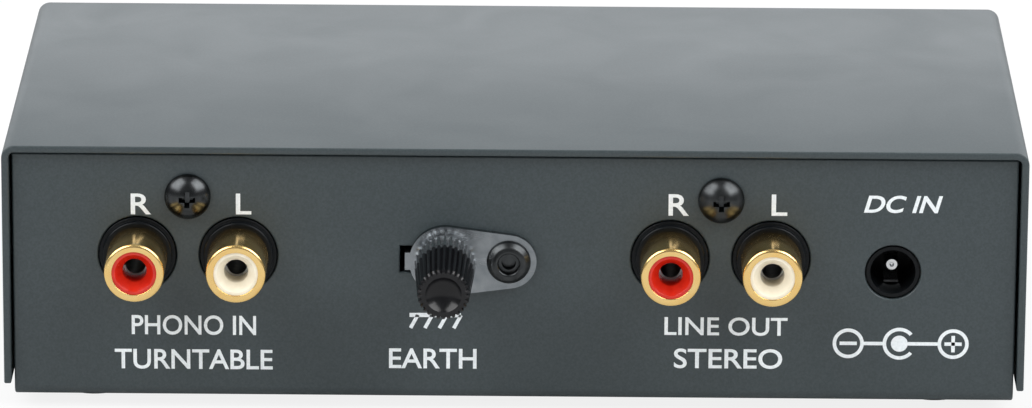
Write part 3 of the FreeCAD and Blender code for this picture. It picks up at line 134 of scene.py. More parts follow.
grain.links.new(grain_in.outputs["Sharpness"], high_edge.inputs[1])
spread = grain.nodes.new("ShaderNodeMapRange")
grain.links.new(noise.outputs["Fac"], spread.inputs["Value"])
grain.links.new(low_edge.outputs[0], spread.inputs["From Min"])
grain.links.new(high_edge.outputs[0], spread.inputs["From Max"])
blend = grain.nodes.new("ShaderNodeMix")
blend.data_type = "RGBA"
grain.links.new(spread.outputs["Result"], blend.inputs["Factor"])
grain.links.new(grain_in.outputs["Ground"], blend.inputs["A"])
grain.links.new(grain_in.outputs["Fleck"], blend.inputs["B"])
grain.links.new(blend.outputs["Result"], grain_out.inputs["Colour"])
grain.links.new(noise.outputs["Fac"], grain_out.inputs["Height"])
grain.links.new(spread.outputs["Result"], grain_out.inputs["Mask"])

marks, marks_in, marks_out = new_group(
    "handling_marks",
    [("Place", VECTOR, None), ("Scale", FLOAT, 60.0), ("Smooth", FLOAT, 0.3), ("Rough", FLOAT, 0.4)],
    [("Roughness", FLOAT)],
)
cloud = marks.nodes.new("ShaderNodeTexNoise")
cloud.inputs["Detail"].default_value = 5.0
cloud.inputs["Distortion"].default_value = 0.6
marks.links.new(marks_in.outputs["Place"], cloud.inputs["Vector"])
marks.links.new(marks_in.outputs["Scale"], cloud.inputs["Scale"])
level = marks.nodes.new("ShaderNodeMapRange")
level.inputs["From Min"].default_value = 0.3
level.inputs["From Max"].default_value = 0.7
marks.links.new(cloud.outputs["Fac"], level.inputs["Value"])
marks.links.new(marks_in.outputs["Smooth"], level.inputs["To Min"])
marks.links.new(marks_in.outputs["Rough"], level.inputs["To Max"])
marks.links.new(level.outputs["Result"], marks_out.inputs["Roughness"])
print("node groups:", [group.name for group in bpy.data.node_groups])


# %% [markdown]
# One function makes each finish from plain words: its colour, the colour of its flecks, how large
# they are, how smooth and how rough it gets, how much it shines, and whether it is metal. What is
# the same all over the surface is set on the shader itself. The grain's scale is in flecks per
# metre, so 1500 means flecks of about two thirds of a millimetre.

# %% Make a finish
def finish(name, ground, fleck, scale, smooth, rough, metal=0.0, bump=0.0, coverage=0.5,
           sharpness=0.2, coat=0.0, stretch=(1, 1, 1), marks_scale=60.0, shine=0.5):
    material = bpy.data.materials.new(name)
    material.use_nodes = True
    nodes, links = material.node_tree.nodes, material.node_tree.links
    shader = nodes["Principled BSDF"]
    shader.inputs["Metallic"].default_value = metal
    shader.inputs["Specular IOR Level"].default_value = shine
    shader.inputs["Coat Weight"].default_value = coat
    shader.inputs["Coat Roughness"].default_value = 0.08
    where = nodes.new("ShaderNodeTexCoord")
    mapping = nodes.new("ShaderNodeMapping")
    mapping.inputs["Scale"].default_value = stretch
    links.new(where.outputs["Object"], mapping.inputs["Vector"])
    flecks = nodes.new("ShaderNodeGroup")
    flecks.node_tree = grain
    links.new(mapping.outputs["Vector"], flecks.inputs["Place"])
    flecks.inputs["Ground"].default_value = (*ground, 1)
    flecks.inputs["Fleck"].default_value = (*fleck, 1)
    flecks.inputs["Scale"].default_value = scale
    flecks.inputs["Coverage"].default_value = coverage
    flecks.inputs["Sharpness"].default_value = sharpness
    links.new(flecks.outputs["Colour"], shader.inputs["Base Color"])
    handled = nodes.new("ShaderNodeGroup")
    handled.node_tree = marks
    links.new(where.outputs["Object"], handled.inputs["Place"])
    handled.inputs["Scale"].default_value = marks_scale
    handled.inputs["Smooth"].default_value = smooth
    handled.inputs["Rough"].default_value = rough
    links.new(handled.outputs["Roughness"], shader.inputs["Roughness"])
    if bump:
        relief = nodes.new("ShaderNodeBump")
        relief.inputs["Strength"].default_value = 0.5
        relief.inputs["Distance"].default_value = bump * MM
        links.new(flecks.outputs["Height"], relief.inputs["Height"])
        links.new(relief.outputs["Normal"], shader.inputs["Normal"])
    return material


# %% [markdown]
# The case is steel with a satin blue-grey powder coat. From near by it is not one grey: fine,
# slightly paler flecks sit in a darker ground, and the surface has a very slight orange-peel relief.
# A fine grain with a low bump gives that without looking like sandpaper.

# %% Finishes
STEEL_PAINT = finish("satin_grey_powder_coat", (0.031, 0.043, 0.047), (0.044, 0.058, 0.063), 3400.0,
                     0.38, 0.44, bump=0.01, coverage=0.52, sharpness=0.18)
GOLD = finish("bright_gold_plate", (1.0, 0.66, 0.24), (1.0, 0.72, 0.30), 500.0, 0.18, 0.28,
              metal=1.0, bump=0.002)
NICKEL = finish("bright_nickel_plate", (0.66, 0.67, 0.68), (0.78, 0.79, 0.80), 700.0, 0.14, 0.26,
                metal=1.0, bump=0.002)
# The lug is the same nickel plating as the other nickel parts, with its colour painted darker: painted
# shade that stands in for the dim reflection on its flat face.
NICKEL_PAINTED_DARKER = finish("nickel_plate_painted_darker", (0.20, 0.22, 0.235), (0.30, 0.32, 0.335), 500.0, 0.16, 0.32,
                    metal=1.0, bump=0.002)
ZINC = finish("zinc_plated_steel", (0.45, 0.46, 0.47), (0.62, 0.62, 0.60), 900.0, 0.25, 0.40,
              metal=1.0, bump=0.004)
BLACK_SCREW = finish("black_lacquered_steel", (0.045, 0.048, 0.050), (0.070, 0.074, 0.076), 900.0,
                     0.24, 0.34, metal=1.0, bump=0.002)
BLACK_MOULDING = finish("black_moulded_nylon", (0.003, 0.004, 0.005), (0.006, 0.007, 0.008), 1500.0,
                        0.22, 0.34, bump=0.004, shine=0.15)
RED_INSERT = finish("red_moulded_insert", (0.52, 0.014, 0.005), (0.60, 0.022, 0.008), 800.0,
                    0.16, 0.28, bump=0.002)
WHITE_INSERT = finish("white_moulded_insert", (0.80, 0.72, 0.56), (0.86, 0.79, 0.64), 800.0,
                      0.16, 0.28, bump=0.002)
BLACK_KNOB = finish("glossy_black_knob", (0.003, 0.003, 0.004), (0.006, 0.006, 0.007), 900.0,
                    0.18, 0.28, bump=0.002, shine=0.35)
RUBBER = finish("black_rubber", (0.016, 0.016, 0.016), (0.030, 0.030, 0.029), 1800.0, 0.65, 0.85,
                bump=0.02)
LAMINATE = finish("green_board_laminate", (0.012, 0.095, 0.035), (0.020, 0.135, 0.050), 700.0,
                  0.25, 0.40, stretch=(1, 4, 1), bump=0.004)
CAN_SLEEVE = finish("dark_blue_can_sleeve", (0.012, 0.018, 0.060), (0.020, 0.028, 0.085), 900.0,
                    0.18, 0.30)
BRICK_DIP = finish("brick_red_dipped_coat", (0.38, 0.045, 0.015), (0.50, 0.070, 0.022), 700.0,
                   0.15, 0.30, bump=0.01)
BLUE_LACQUER = finish("light_blue_lacquer", (0.14, 0.36, 0.50), (0.20, 0.44, 0.58), 900.0,
                      0.20, 0.34)
GREEN_WIRE = finish("green_wire_insulation", (0.020, 0.22, 0.055), (0.030, 0.28, 0.070), 900.0,
                    0.30, 0.45)
GREEN_LENS = finish("green_tinted_lens", (0.05, 0.42, 0.10), (0.08, 0.52, 0.14), 600.0, 0.08, 0.16,
                    coat=0.5)
INK = finish("pale_grey_print", (0.70, 0.74, 0.76), (0.82, 0.86, 0.88), 2600.0, 0.45, 0.60)

SLOT_FINISH = {
    "painted_steel": STEEL_PAINT, "black_screw": BLACK_SCREW, "black_rivet": BLACK_SCREW,
    "bright_steel": ZINC, "nickel_plate": NICKEL, "gold_plate": GOLD, "red_insert": RED_INSERT,
    "white_insert": WHITE_INSERT, "black_moulding": BLACK_MOULDING, "foot_rubber": RUBBER,
    "black_knob": BLACK_KNOB, "board_laminate": LAMINATE, "capacitor_sleeve": CAN_SLEEVE,
    "film_capacitor": BRICK_DIP, "resistor_lacquer": BLUE_LACQUER, "green_wire": GREEN_WIRE,
    "light_lens": GREEN_LENS,
}
slot_of = {part["node"]: part["material_slot"] for part in frame["record"]["subparts"]}
body_of = {
    node: body
    for body, members in frame["record"]["behaviour"]["bodies"].items()
    for node in members
}
for name, node in frame["nodes"].items():
    node.data.materials.clear()
    node.data.materials.append(SLOT_FINISH[slot_of[name]])
print(len(bpy.data.materials), "finishes on", len(frame["nodes"]), "solids")


# %% [markdown]
# Each new piece ends the same way. It gets its name and finish, its place goes into its mesh, and it
# takes over from the solids that it stands for, riding on the same body as they do. Edges that turn
# by less than 35 degrees are shaded smooth, so that round walls look round and corners stay crisp.

# %% Starting and finishing a piece
def nothing_selected():
    if bpy.context.mode != "OBJECT":
        bpy.ops.object.mode_set(mode="OBJECT")
    bpy.ops.object.select_all(action="DESELECT")


def only(piece):
    nothing_selected()
    piece.select_set(True)
    bpy.context.view_layer.objects.active = piece


def select(piece, kind, test):
    """Back in edit mode with only the points, edges or faces that pass the test selected."""
    bpy.ops.object.mode_set(mode="OBJECT")
    mesh = piece.data
    for elements in (mesh.polygons, mesh.edges, mesh.vertices):
        for element in elements:
            element.select = False
    if kind == "EDGE":
        for edge in mesh.edges:
            edge.select = test(*(mesh.vertices[end].co for end in edge.vertices))
    elif kind == "FACE":
        for face in mesh.polygons:
            face.select = test(face)
    else:
        for vertex in mesh.vertices:
            vertex.select = test(vertex.co)
    modes = [kind == mode for mode in ("VERT", "EDGE", "FACE")]
    bpy.context.tool_settings.mesh_select_mode = modes
    bpy.ops.object.mode_set(mode="EDIT")


def apply_modifier(piece, kind, **settings):
    only(piece)
    modifier = piece.modifiers.new(kind.lower(), kind)
    for name, setting in settings.items():
        setattr(modifier, name, setting)
    bpy.ops.object.modifier_apply(modifier=modifier.name)


def keep(piece, name, material, slot, body, *nodes, smooth=35):
    """Name, finish and shade a piece, and let it stand for the given solids."""
    only(piece)
    bpy.ops.object.transform_apply(location=True, rotation=True, scale=True)
    bpy.ops.object.shade_smooth_by_angle(angle=math.radians(smooth))
    piece.name = piece.data.name = name
    piece.data.materials.clear()
    piece.data.materials.append(material)
    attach(piece, body)
    if nodes:
        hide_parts(*nodes)
    nothing_selected()
    print(name, "has", len(piece.data.polygons), "faces")
    return piece


# %% [markdown]
# Most of the hardware is turned metal or moulded on a round core. A turned piece starts as a circle
# that is extruded ring by ring along its axis and scaled to the next radius, as on a lathe. Spin
# would do as well, but rings read more like a drawing: radius and height, in millimetres. Corners
# are rounded first by putting a short arc where two straight runs meet.

# %% Turned pieces
ROUND_STEPS = 5


def rounded(corners):
    """Replace each (radius, height, rounding) corner by a short arc tangent to its two sides."""
    points = []
    for index, (radius, height, bend) in enumerate(corners):
        here = Vector((radius, height))
        before = Vector(corners[index - 1][:2]) - here
        after = Vector(corners[(index + 1) % len(corners)][:2]) - here
        if not bend or index in (0, len(corners) - 1):
            points.append(here)
            continue
        half = before.angle(after) / 2
        reach = bend / math.tan(half)
        first, last = here + before.normalized() * reach, here + after.normalized() * reach
        middle = here + (before.normalized() + after.normalized()).normalized() * bend / math.sin(half)
        for step in range(ROUND_STEPS + 1):
            share = step / ROUND_STEPS
            chord = first.lerp(last, share) - middle
            points.append(middle + chord.normalized() * bend)
    return [(point.x, point.y) for point in points]


def turn(corners, sides=96):
    """Extrude a circle from ring to ring. A radius of nothing closes the piece at a point."""
    rings = [(radius * MM, height * MM) for radius, height in rounded(corners)]
    nothing_selected()
    radius, height = rings[0]
    starts_closed = radius == 0
    if starts_closed:
        radius, height = rings[1]
        rings = rings[1:]
    bpy.ops.mesh.primitive_circle_add(vertices=sides, radius=radius, location=(0, 0, height),
                                      fill_type="TRIFAN" if starts_closed else "NOTHING")
    piece = bpy.context.object
    bpy.ops.object.transform_apply(location=True)
    bpy.ops.object.mode_set(mode="EDIT")
    select(piece, "VERT", lambda point: point.xy.length > radius / 2)
    for next_radius, next_height in rings[1:]:
        lift = {"value": (0, 0, next_height - height)}
        bpy.ops.mesh.extrude_edges_move(TRANSFORM_OT_translate=lift)
        if next_radius == 0:
            bpy.ops.mesh.merge(type="CENTER")
            break
        scale = next_radius / radius
        bpy.ops.transform.resize(value=(scale, scale, 1), center_override=(0, 0, next_height))
        radius, height = next_radius, next_height
    bpy.ops.mesh.select_all(action="SELECT")
    bpy.ops.mesh.remove_doubles(threshold=0.001 * MM)
    bpy.ops.mesh.normals_make_consistent(inside=False)
    bpy.ops.object.mode_set(mode="OBJECT")
    return piece


def face_out(piece, x, z, y=None):
    """Point a piece's own +Z out of the connector panel and put its zero on the panel's face."""
    piece.rotation_euler = (math.pi / 2, 0, 0)
    piece.location = (x, panel_y if y is None else y, z)
    only(piece)
    bpy.ops.object.transform_apply(location=True, rotation=True)
    return piece


def joined(first, *others):
    only(first)
    for piece in others:
        piece.select_set(True)
    bpy.ops.object.join()
    return bpy.context.object


def copy_of(piece, shift):
    """A copy with its own mesh, moved by a vector."""
    twin = piece.copy()
    twin.data = piece.data.copy()
    bpy.context.scene.collection.objects.link(twin)
    twin.data.transform(Matrix.Translation(shift))
    return twin


def block(low, high):
    """A plain block between two corners, in metres, as a start for shaping or cutting."""
    nothing_selected()
    low, high = Vector(low), Vector(high)
    bpy.ops.mesh.primitive_cube_add(size=1, location=(low + high) / 2)
    piece = bpy.context.object
    piece.scale = high - low
    bpy.ops.object.transform_apply(location=True, rotation=True, scale=True)
    return piece


def carve(piece, cutter, operation="DIFFERENCE"):
    apply_modifier(piece, "BOOLEAN", operation=operation, object=cutter, solver="EXACT")
    bpy.data.objects.remove(cutter)


# %% [markdown]
# The cover is one sheet of steel bent down at both sides. A block of its outer size loses its two
# ends and its underside, its two long top edges are bevelled to the bend's radius, and Solidify
# gives the sheet its thickness inwards. A last small bevel breaks the cut edges, and that thin
# bright line along the sheet is what makes it read as folded metal.

# %% Cover
SHEET = 1.0
COVER_BEND = 1.8
COVER_EDGE = 0.22

cover_low, cover_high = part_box("cover")
cover = block(cover_low, cover_high)
select(cover, "FACE", lambda face: abs(face.normal.y) > 0.5 or face.normal.z < -0.5)
bpy.ops.mesh.delete(type="FACE")
top = cover_high.z - SHEET * MM
select(cover, "EDGE", lambda a, b: a.z > top and b.z > top and abs(a.x - b.x) < SHEET * MM)
bpy.ops.mesh.bevel(offset=COVER_BEND * MM, segments=10)
bpy.ops.object.mode_set(mode="OBJECT")
apply_modifier(cover, "SOLIDIFY", thickness=SHEET * MM, offset=-1, use_even_offset=True)
apply_modifier(cover, "BEVEL", width=COVER_EDGE * MM, segments=3, limit_method="ANGLE",
               angle_limit=math.radians(50))
keep(cover, "folded_cover", STEEL_PAINT, "painted_steel", "case", "cover")

# %% [markdown]
# Each phono jack has a gold collar that the plug's shell slides over, and a coloured insert with a
# funnel that guides the plug's pin. The photograph shows a bright rolled lip on the collar, so the
# profile has a generous rounding there. A thin inner lip frames the insert, and a shoulder rests on
# the black nose. One jack is turned and the other three are copies.

# %% Phono jacks
JACKS = ("input_right", "input_left", "output_right", "output_left")
JACK_BACK = -12.0
SHELL_RADIUS, SHELL_BORE, SHELL_REACH, SHELL_LIP = 4.15, 3.2, 9.3, 0.42
SHELL_NECK, SHELL_SHOULDER = 3.65, 1.0
MOUTH_RADIUS, MOUTH_DEPTH, MOUTH_ROUNDING = 3.08, 0.13, 0.08
INSERT_RADIUS, INSERT_RECESS, INSERT_RIM = 3.15, 0.15, 0.5
FUNNEL_DEPTH, PIN_BORE, BORE_DEPTH = 1.5, 1.65, 4.5
SLEEVE_SPACE = 2.1
STEM_HOLE = 0.65

shell = turn([
    (SHELL_BORE, JACK_BACK, 0),
    (SHELL_NECK, JACK_BACK, 0.1),
    (SHELL_NECK, SHELL_SHOULDER, 0),
    (SHELL_RADIUS, SHELL_SHOULDER, 0.1),
    (SHELL_RADIUS, SHELL_REACH, SHELL_LIP),
    (MOUTH_RADIUS, SHELL_REACH, MOUTH_ROUNDING),
    (MOUTH_RADIUS, SHELL_REACH - MOUTH_DEPTH, 0),
    (SHELL_BORE, SHELL_REACH - MOUTH_DEPTH, 0),
    (SHELL_BORE, JACK_BACK, 0),
])
face = SHELL_REACH - INSERT_RECESS
insert = turn([
    (STEM_HOLE, JACK_BACK, 0),
    (INSERT_RADIUS, JACK_BACK, 0.1),
    (INSERT_RADIUS, face, 0.12),
    (INSERT_RADIUS - INSERT_RIM, face, 0.1),
    (PIN_BORE, face - FUNNEL_DEPTH, 0.25),
    (PIN_BORE, face - BORE_DEPTH, 0),
    (SLEEVE_SPACE, face - BORE_DEPTH, 0),
    (SLEEVE_SPACE, JACK_BACK + 0.7, 0),
    (STEM_HOLE, JACK_BACK + 0.7, 0),
    (STEM_HOLE, JACK_BACK, 0),
])
first_jack = centre_line["input_right_insert"]
face_out(shell, first_jack.x, first_jack.z)
face_out(insert, first_jack.x, first_jack.z)
tail_low, tail_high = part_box("input_right_shell")
TAIL_X, TAIL_WIDTH, TAIL_GAUGE = 2.7, 1.0, 0.5
tail = block(
    (first_jack.x + TAIL_X * MM, tail_high.y - TAIL_GAUGE * MM, tail_low.z),
    (first_jack.x + (TAIL_X + TAIL_WIDTH) * MM, tail_high.y, first_jack.z - SHELL_BORE / 2 * MM),
)
apply_modifier(tail, "BEVEL", width=0.08 * MM, segments=2)
shell = joined(shell, tail)
for jack in JACKS:
    shift = centre_line[f"{jack}_insert"] - first_jack
    channel = ("red_insert", RED_INSERT) if "right" in jack else ("white_insert", WHITE_INSERT)
    keep(copy_of(shell, shift), f"{jack}_gold_collar", GOLD, "gold_plate", "case", f"{jack}_shell")
    keep(copy_of(insert, shift), f"{jack}_coloured_insert", channel[1], channel[0], "case",
         f"{jack}_insert")
bpy.data.objects.remove(shell)
bpy.data.objects.remove(insert)

# %% [markdown]
# Behind the panel each pair of jacks is one black moulding on the board. Only its two stepped noses
# show: a flat ring that fills the panel's hole and a smaller collar round the gold. The block is a
# bevelled box with a boss for the screw, and the noses are turned and joined to it.

# %% Jack mouldings
NOSE_RING, NOSE_RING_PROUD = 5.3, 0.15
NOSE_RADIUS, NOSE_PROUD = 4.85, 0.95
PANEL_GAUGE = 1.0

nose = turn([
    (SHELL_NECK + 0.05, -PANEL_GAUGE - 1, 0),
    (NOSE_RING, -PANEL_GAUGE - 1, 0),
    (NOSE_RING, NOSE_RING_PROUD, 0.12),
    (NOSE_RADIUS, NOSE_RING_PROUD, 0.05),
    (NOSE_RADIUS, NOSE_PROUD, 0.28),
    (SHELL_NECK + 0.05, NOSE_PROUD, 0.1),
    (SHELL_NECK + 0.05, -PANEL_GAUGE - 1, 0),
])
face_out(nose, first_jack.x, first_jack.z)
BOSS_HALF, BLOCK_RISE = 3.6, 5.6
for pair in ("input", "output"):
    low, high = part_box(f"{pair}_jack_housing")
    right_jack, left_jack = centre_line[f"{pair}_right_insert"], centre_line[f"{pair}_left_insert"]
    middle = (right_jack.x + left_jack.x) / 2
    behind = panel_y + PANEL_GAUGE * MM
    shoulder = right_jack.z + BLOCK_RISE * MM
    moulding = block((low.x, behind, low.z), (high.x, high.y, shoulder))
    boss = block((middle - BOSS_HALF * MM, behind, right_jack.z),
                 (middle + BOSS_HALF * MM, high.y, high.z))
    carve(moulding, boss, "UNION")
    for jack in (right_jack, left_jack):
        bpy.ops.mesh.primitive_cylinder_add(
            vertices=96, radius=(SHELL_NECK + 0.05) * MM, depth=60 * MM,
            location=(jack.x, high.y, jack.z), rotation=(math.pi / 2, 0, 0))
        carve(moulding, bpy.context.object)
    apply_modifier(moulding, "BEVEL", width=0.3 * MM, segments=2, limit_method="ANGLE",
                   angle_limit=math.radians(50))
    noses = [copy_of(nose, jack - first_jack) for jack in (right_jack, left_jack)]
    moulding = joined(moulding, *noses)
    keep(moulding, f"{pair}_jack_moulding", BLACK_MOULDING, "black_moulding", "case",
         f"{pair}_jack_housing")
bpy.data.objects.remove(nose)

# %% [markdown]
# The pan-head screws are black, with a shallow dome and a cross recess. The dome is turned from the
# arc of a circle. The recess is two crossed bars cut away with Boolean, and its walls slope a
# little, as a punched recess does.

# %% Pan-head screws
CROSS_WIDTH, CROSS_ARM, CROSS_DEPTH = 0.8, 1.65, 1.5
HEAD_EDGE, HEAD_BEVEL = 0.5, 0.07
SHANK_RADIUS, SHANK_POINT = 1.45, 0.3
DOME_STEPS = 12
RECESS_ALONG, RECESS_ACROSS = 0.45, 0.8


def pan_head(radius, height, shank):
    rise = height - HEAD_EDGE
    dome = (radius**2 + rise**2) / (2 * rise)
    start = math.asin(radius / dome)
    arc = [
        (dome * math.sin(start * (1 - step / DOME_STEPS)),
         height - dome + dome * math.cos(start * (1 - step / DOME_STEPS)), 0)
        for step in range(DOME_STEPS + 1)
    ]
    head = turn([(0, -shank, 0), (SHANK_RADIUS - SHANK_POINT, -shank, 0),
                 (SHANK_RADIUS, SHANK_POINT - shank, 0),
                 (SHANK_RADIUS, 0, 0), (radius, 0, 0)] + arc[:1]
                + [(r, z, 0) for r, z, _ in arc[1:-1]] + [(0, height, 0)], sides=64)
    bars = []
    for long_way, wide_way in ((CROSS_ARM, CROSS_WIDTH / 2), (CROSS_WIDTH / 2, CROSS_ARM)):
        bar = block((-long_way * MM, -wide_way * MM, (height - CROSS_DEPTH) * MM),
                    (long_way * MM, wide_way * MM, (height + CROSS_DEPTH) * MM))
        select(bar, "FACE", lambda side: side.normal.z < -0.5)
        narrow = (RECESS_ALONG, RECESS_ACROSS)
        shrink_x, shrink_y = narrow if long_way > wide_way else reversed(narrow)
        bpy.ops.transform.resize(value=(shrink_x, shrink_y, 1))
        bpy.ops.object.mode_set(mode="OBJECT")
        bars.append(bar)
    for bar in bars:
        carve(head, bar)
    apply_modifier(head, "BEVEL", width=HEAD_BEVEL * MM, segments=2, limit_method="ANGLE",
                   angle_limit=math.radians(40))
    return head


jack_head = pan_head(3.2, 2.3, 7.0)
screws = []
for pair in ("input", "output"):
    middle = (centre_line[f"{pair}_right_insert"] + centre_line[f"{pair}_left_insert"]) / 2
    screw = copy_of(jack_head, Vector())
    face_out(screw, middle.x, centre_line["jack_screws"].z)
    screws.append(screw)
keep(joined(*screws), "jack_pan_screws", BLACK_SCREW, "black_screw", "case", "jack_screws")
bpy.data.objects.remove(jack_head)

side_head = pan_head(2.7, 1.5, 5.0)
low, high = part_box("cover_screws")
row_reach = 2.7 * MM
screws = []
for side, x in ((1, cover_high.x), (-1, cover_low.x)):
    for y in (low.y + row_reach, high.y - row_reach):
        screw = copy_of(side_head, Vector())
        screw.rotation_euler = (0, side * math.pi / 2, 0)
        screw.location = (x, y, (low.z + high.z) / 2)
        only(screw)
        bpy.ops.object.transform_apply(location=True, rotation=True)
        screws.append(screw)
keep(joined(*screws), "cover_pan_screws", BLACK_SCREW, "black_screw", "case", "cover_screws")
bpy.data.objects.remove(side_head)

# %% [markdown]
# The ground lug is stamped from plated sheet: two round ends joined by straight sides, and a tab
# that folds in through a slot in the panel. Two short cylinders and their convex hull give the
# outline with tangent sides. Booleans add the tab and open the holes, and a bevel rolls the edge.

# %% Ground lug
STUD_END, RIVET_END, RIVET_SPACING = 5.0, 3.85, 8.8
TAB_HALF, TAB_SIDE, TAB_REACH = 1.25, 0.6, 6.0
STUD_HOLE, RIVET_HOLE = 2.3, 1.65
PLATE_EDGE = 0.35

stud = centre_line["ground_stud"]
nothing_selected()
bpy.ops.mesh.primitive_cylinder_add(vertices=96, radius=STUD_END * MM, depth=PLATE_GAUGE * MM,
                                    location=(0, 0, PLATE_GAUGE / 2 * MM))
lug = bpy.context.object
bpy.ops.object.transform_apply(location=True)
bpy.ops.object.mode_set(mode="EDIT")
bpy.ops.mesh.primitive_cylinder_add(
    vertices=96, radius=RIVET_END * MM, depth=PLATE_GAUGE * MM,
    location=(RIVET_SPACING * MM, 0, PLATE_GAUGE / 2 * MM))
bpy.ops.mesh.select_all(action="SELECT")
bpy.ops.mesh.convex_hull()
bpy.ops.mesh.dissolve_limited(angle_limit=math.radians(0.5))
bpy.ops.object.mode_set(mode="OBJECT")
tab_x = -(STUD_END + TAB_SIDE)
for low, high in (
    ((tab_x, -TAB_HALF, 0), (-STUD_END / 2, TAB_HALF, PLATE_GAUGE)),
    ((tab_x, -TAB_HALF, -PANEL_GAUGE - TAB_REACH), (tab_x + PLATE_GAUGE, TAB_HALF, PLATE_GAUGE)),
):
    carve(lug, block(Vector(low) * MM, Vector(high) * MM), "UNION")
for x, radius in ((0, STUD_HOLE), (RIVET_SPACING, RIVET_HOLE)):
    bpy.ops.mesh.primitive_cylinder_add(vertices=64, radius=radius * MM, depth=10 * MM,
                                        location=(x * MM, 0, 0))
    carve(lug, bpy.context.object)
apply_modifier(lug, "BEVEL", width=PLATE_EDGE * MM, segments=4, limit_method="ANGLE",
               angle_limit=math.radians(50))
face_out(lug, stud.x, stud.z)
# The lug's finish is nickel with painted shade: its colour is darker than the plating's own.
keep(lug, "ground_lug", NICKEL_PAINTED_DARKER, "nickel_plate", "case", "ground_plate")

# %% [markdown]
# The rivet beside the stud is black, with a low dome and a dark hole where its mandrel broke off.

# %% Rivet
RIVET_HEAD, RIVET_RISE, RIVET_MOUTH, RIVET_MOUTH_DEPTH = 3.1, 1.4, 1.5, 1.0
RIVET_SHANK, RIVET_BORE, RIVET_BULB = 1.6, 1.0, 2.2

crown = PLATE_GAUGE + RIVET_RISE
rivet = turn([
    (RIVET_BORE, -3.6, 0),
    (RIVET_SHANK, -3.6, 0),
    (RIVET_BULB, -2.3, 0.4),
    (RIVET_BULB, -PANEL_GAUGE, 0.1),
    (RIVET_SHANK, -PANEL_GAUGE, 0),
    (RIVET_SHANK, PLATE_GAUGE, 0),
    (RIVET_HEAD, PLATE_GAUGE, 0.1),
    (RIVET_HEAD - 0.15, PLATE_GAUGE + 0.55, 0.3),
    (2.35, crown - 0.2, 0.8),
    (RIVET_MOUTH, crown, 0.3),
    (RIVET_MOUTH - 0.1, crown - RIVET_MOUTH_DEPTH, 0),
    (RIVET_BORE, crown - RIVET_MOUTH_DEPTH, 0),
    (RIVET_BORE, -3.6, 0),
], sides=64)
face_out(rivet, stud.x + RIVET_SPACING * MM, stud.z)
frame["nodes"]["rivet_mandrel"].data.materials[0] = BLACK_SCREW
keep(rivet, "ground_lug_rivet", BLACK_SCREW, "black_rivet", "case", "ground_rivet")

# %% [markdown]
# The terminal's knob is tapered with a straight knurl. A plated skirt carries a black cap with a
# polished dish in its end. Both start as turned blanks with six points to a tooth. The points over
# each groove are then drawn towards the axis, so that every groove is a clean V and the lands
# between stay round. The stud is fixed in the panel. The knob rides on its own body, because it
# turns on the stud and backs out, and its washer slides with it.

# %% Thumbscrew
TEETH, TOOTH_POINTS, TOOTH_DEPTH = 30, 6, 0.38
NECK_RADIUS, NECK, KNOB_LENGTH, SKIRT_LENGTH = 3.0, 0.6, 14.1, 3.9
KNOB_BASE, KNOB_TIP, KNOB_EDGE = 4.25, 3.6, 0.35
DISH_RADIUS, DISH_DEPTH, DISH_STEPS = 2.5, 1.1, 10
KNOB_BORE, BORE_IN_KNOB = 2.01, 10.3
WASHER, WASHER_RADIUS = 0.8, 3.6

neck_start = PLATE_GAUGE + WASHER
base = neck_start + NECK
tip = base + KNOB_LENGTH
dish_ball = (DISH_RADIUS**2 + DISH_DEPTH**2) / (2 * DISH_DEPTH)
dish_start = math.asin(DISH_RADIUS / dish_ball)
dish = []
for step in range(DISH_STEPS):
    angle = dish_start * (1 - step / DISH_STEPS)
    dish.append((dish_ball * math.sin(angle), tip - DISH_DEPTH + dish_ball * (1 - math.cos(angle)), 0))
split = base + SKIRT_LENGTH
taper = (KNOB_BASE - KNOB_TIP) / (KNOB_LENGTH - 2 * KNOB_EDGE)
split_radius = KNOB_BASE - taper * (SKIRT_LENGTH - KNOB_EDGE)
skirt = turn([
    (KNOB_BORE, neck_start, 0),
    (NECK_RADIUS, neck_start, 0.1),
    (NECK_RADIUS, base, 0),
    (KNOB_BASE - KNOB_EDGE, base, 0),
    (KNOB_BASE, base + KNOB_EDGE, 0.1),
    (split_radius, split, 0),
    (KNOB_BORE, split, 0),
    (KNOB_BORE, neck_start, 0),
], sides=TEETH * TOOTH_POINTS)
knob = turn([
    (0, base + BORE_IN_KNOB, 0),
    (KNOB_BORE, base + BORE_IN_KNOB, 0),
    (KNOB_BORE, split, 0),
    (split_radius, split, 0),
    (KNOB_TIP, tip - KNOB_EDGE, 0.1),
    (KNOB_TIP - KNOB_EDGE, tip, 0.08),
] + dish + [(0, tip - DISH_DEPTH, 0)], sides=TEETH * TOOTH_POINTS)
tooth_angle = 2 * math.pi / TEETH


def knurl(piece):
    """Draw the points over each groove towards the axis, and their neighbours half as far."""
    only(piece)
    for share, reach in ((0.0, 1.0), (1.0, 0.5)):
        def over_groove(point):
            turned_by = (math.atan2(point.y, point.x) / tooth_angle) % 1.0
            from_groove = min(turned_by, 1 - turned_by) * TOOTH_POINTS
            outside = point.xy.length > (KNOB_TIP - KNOB_EDGE - 0.1) * MM
            return outside and point.z > base * MM - 1e-6 and abs(from_groove - share) < 0.25

        select(piece, "VERT", over_groove)
        draw_in = 1 - reach * TOOTH_DEPTH / KNOB_BASE
        bpy.ops.transform.resize(value=(draw_in, draw_in, 1), center_override=(0, 0, 0))
        bpy.ops.object.mode_set(mode="OBJECT")


for piece, name, material, node in (
    (skirt, "knurled_plated_skirt", NICKEL, "ground_skirt"),
    (knob, "knurled_terminal_knob", BLACK_KNOB, "ground_knob"),
):
    knurl(piece)
    face_out(piece, stud.x, stud.z)
    keep(piece, name, material, slot_of[node], body_of[node], node, smooth=25)

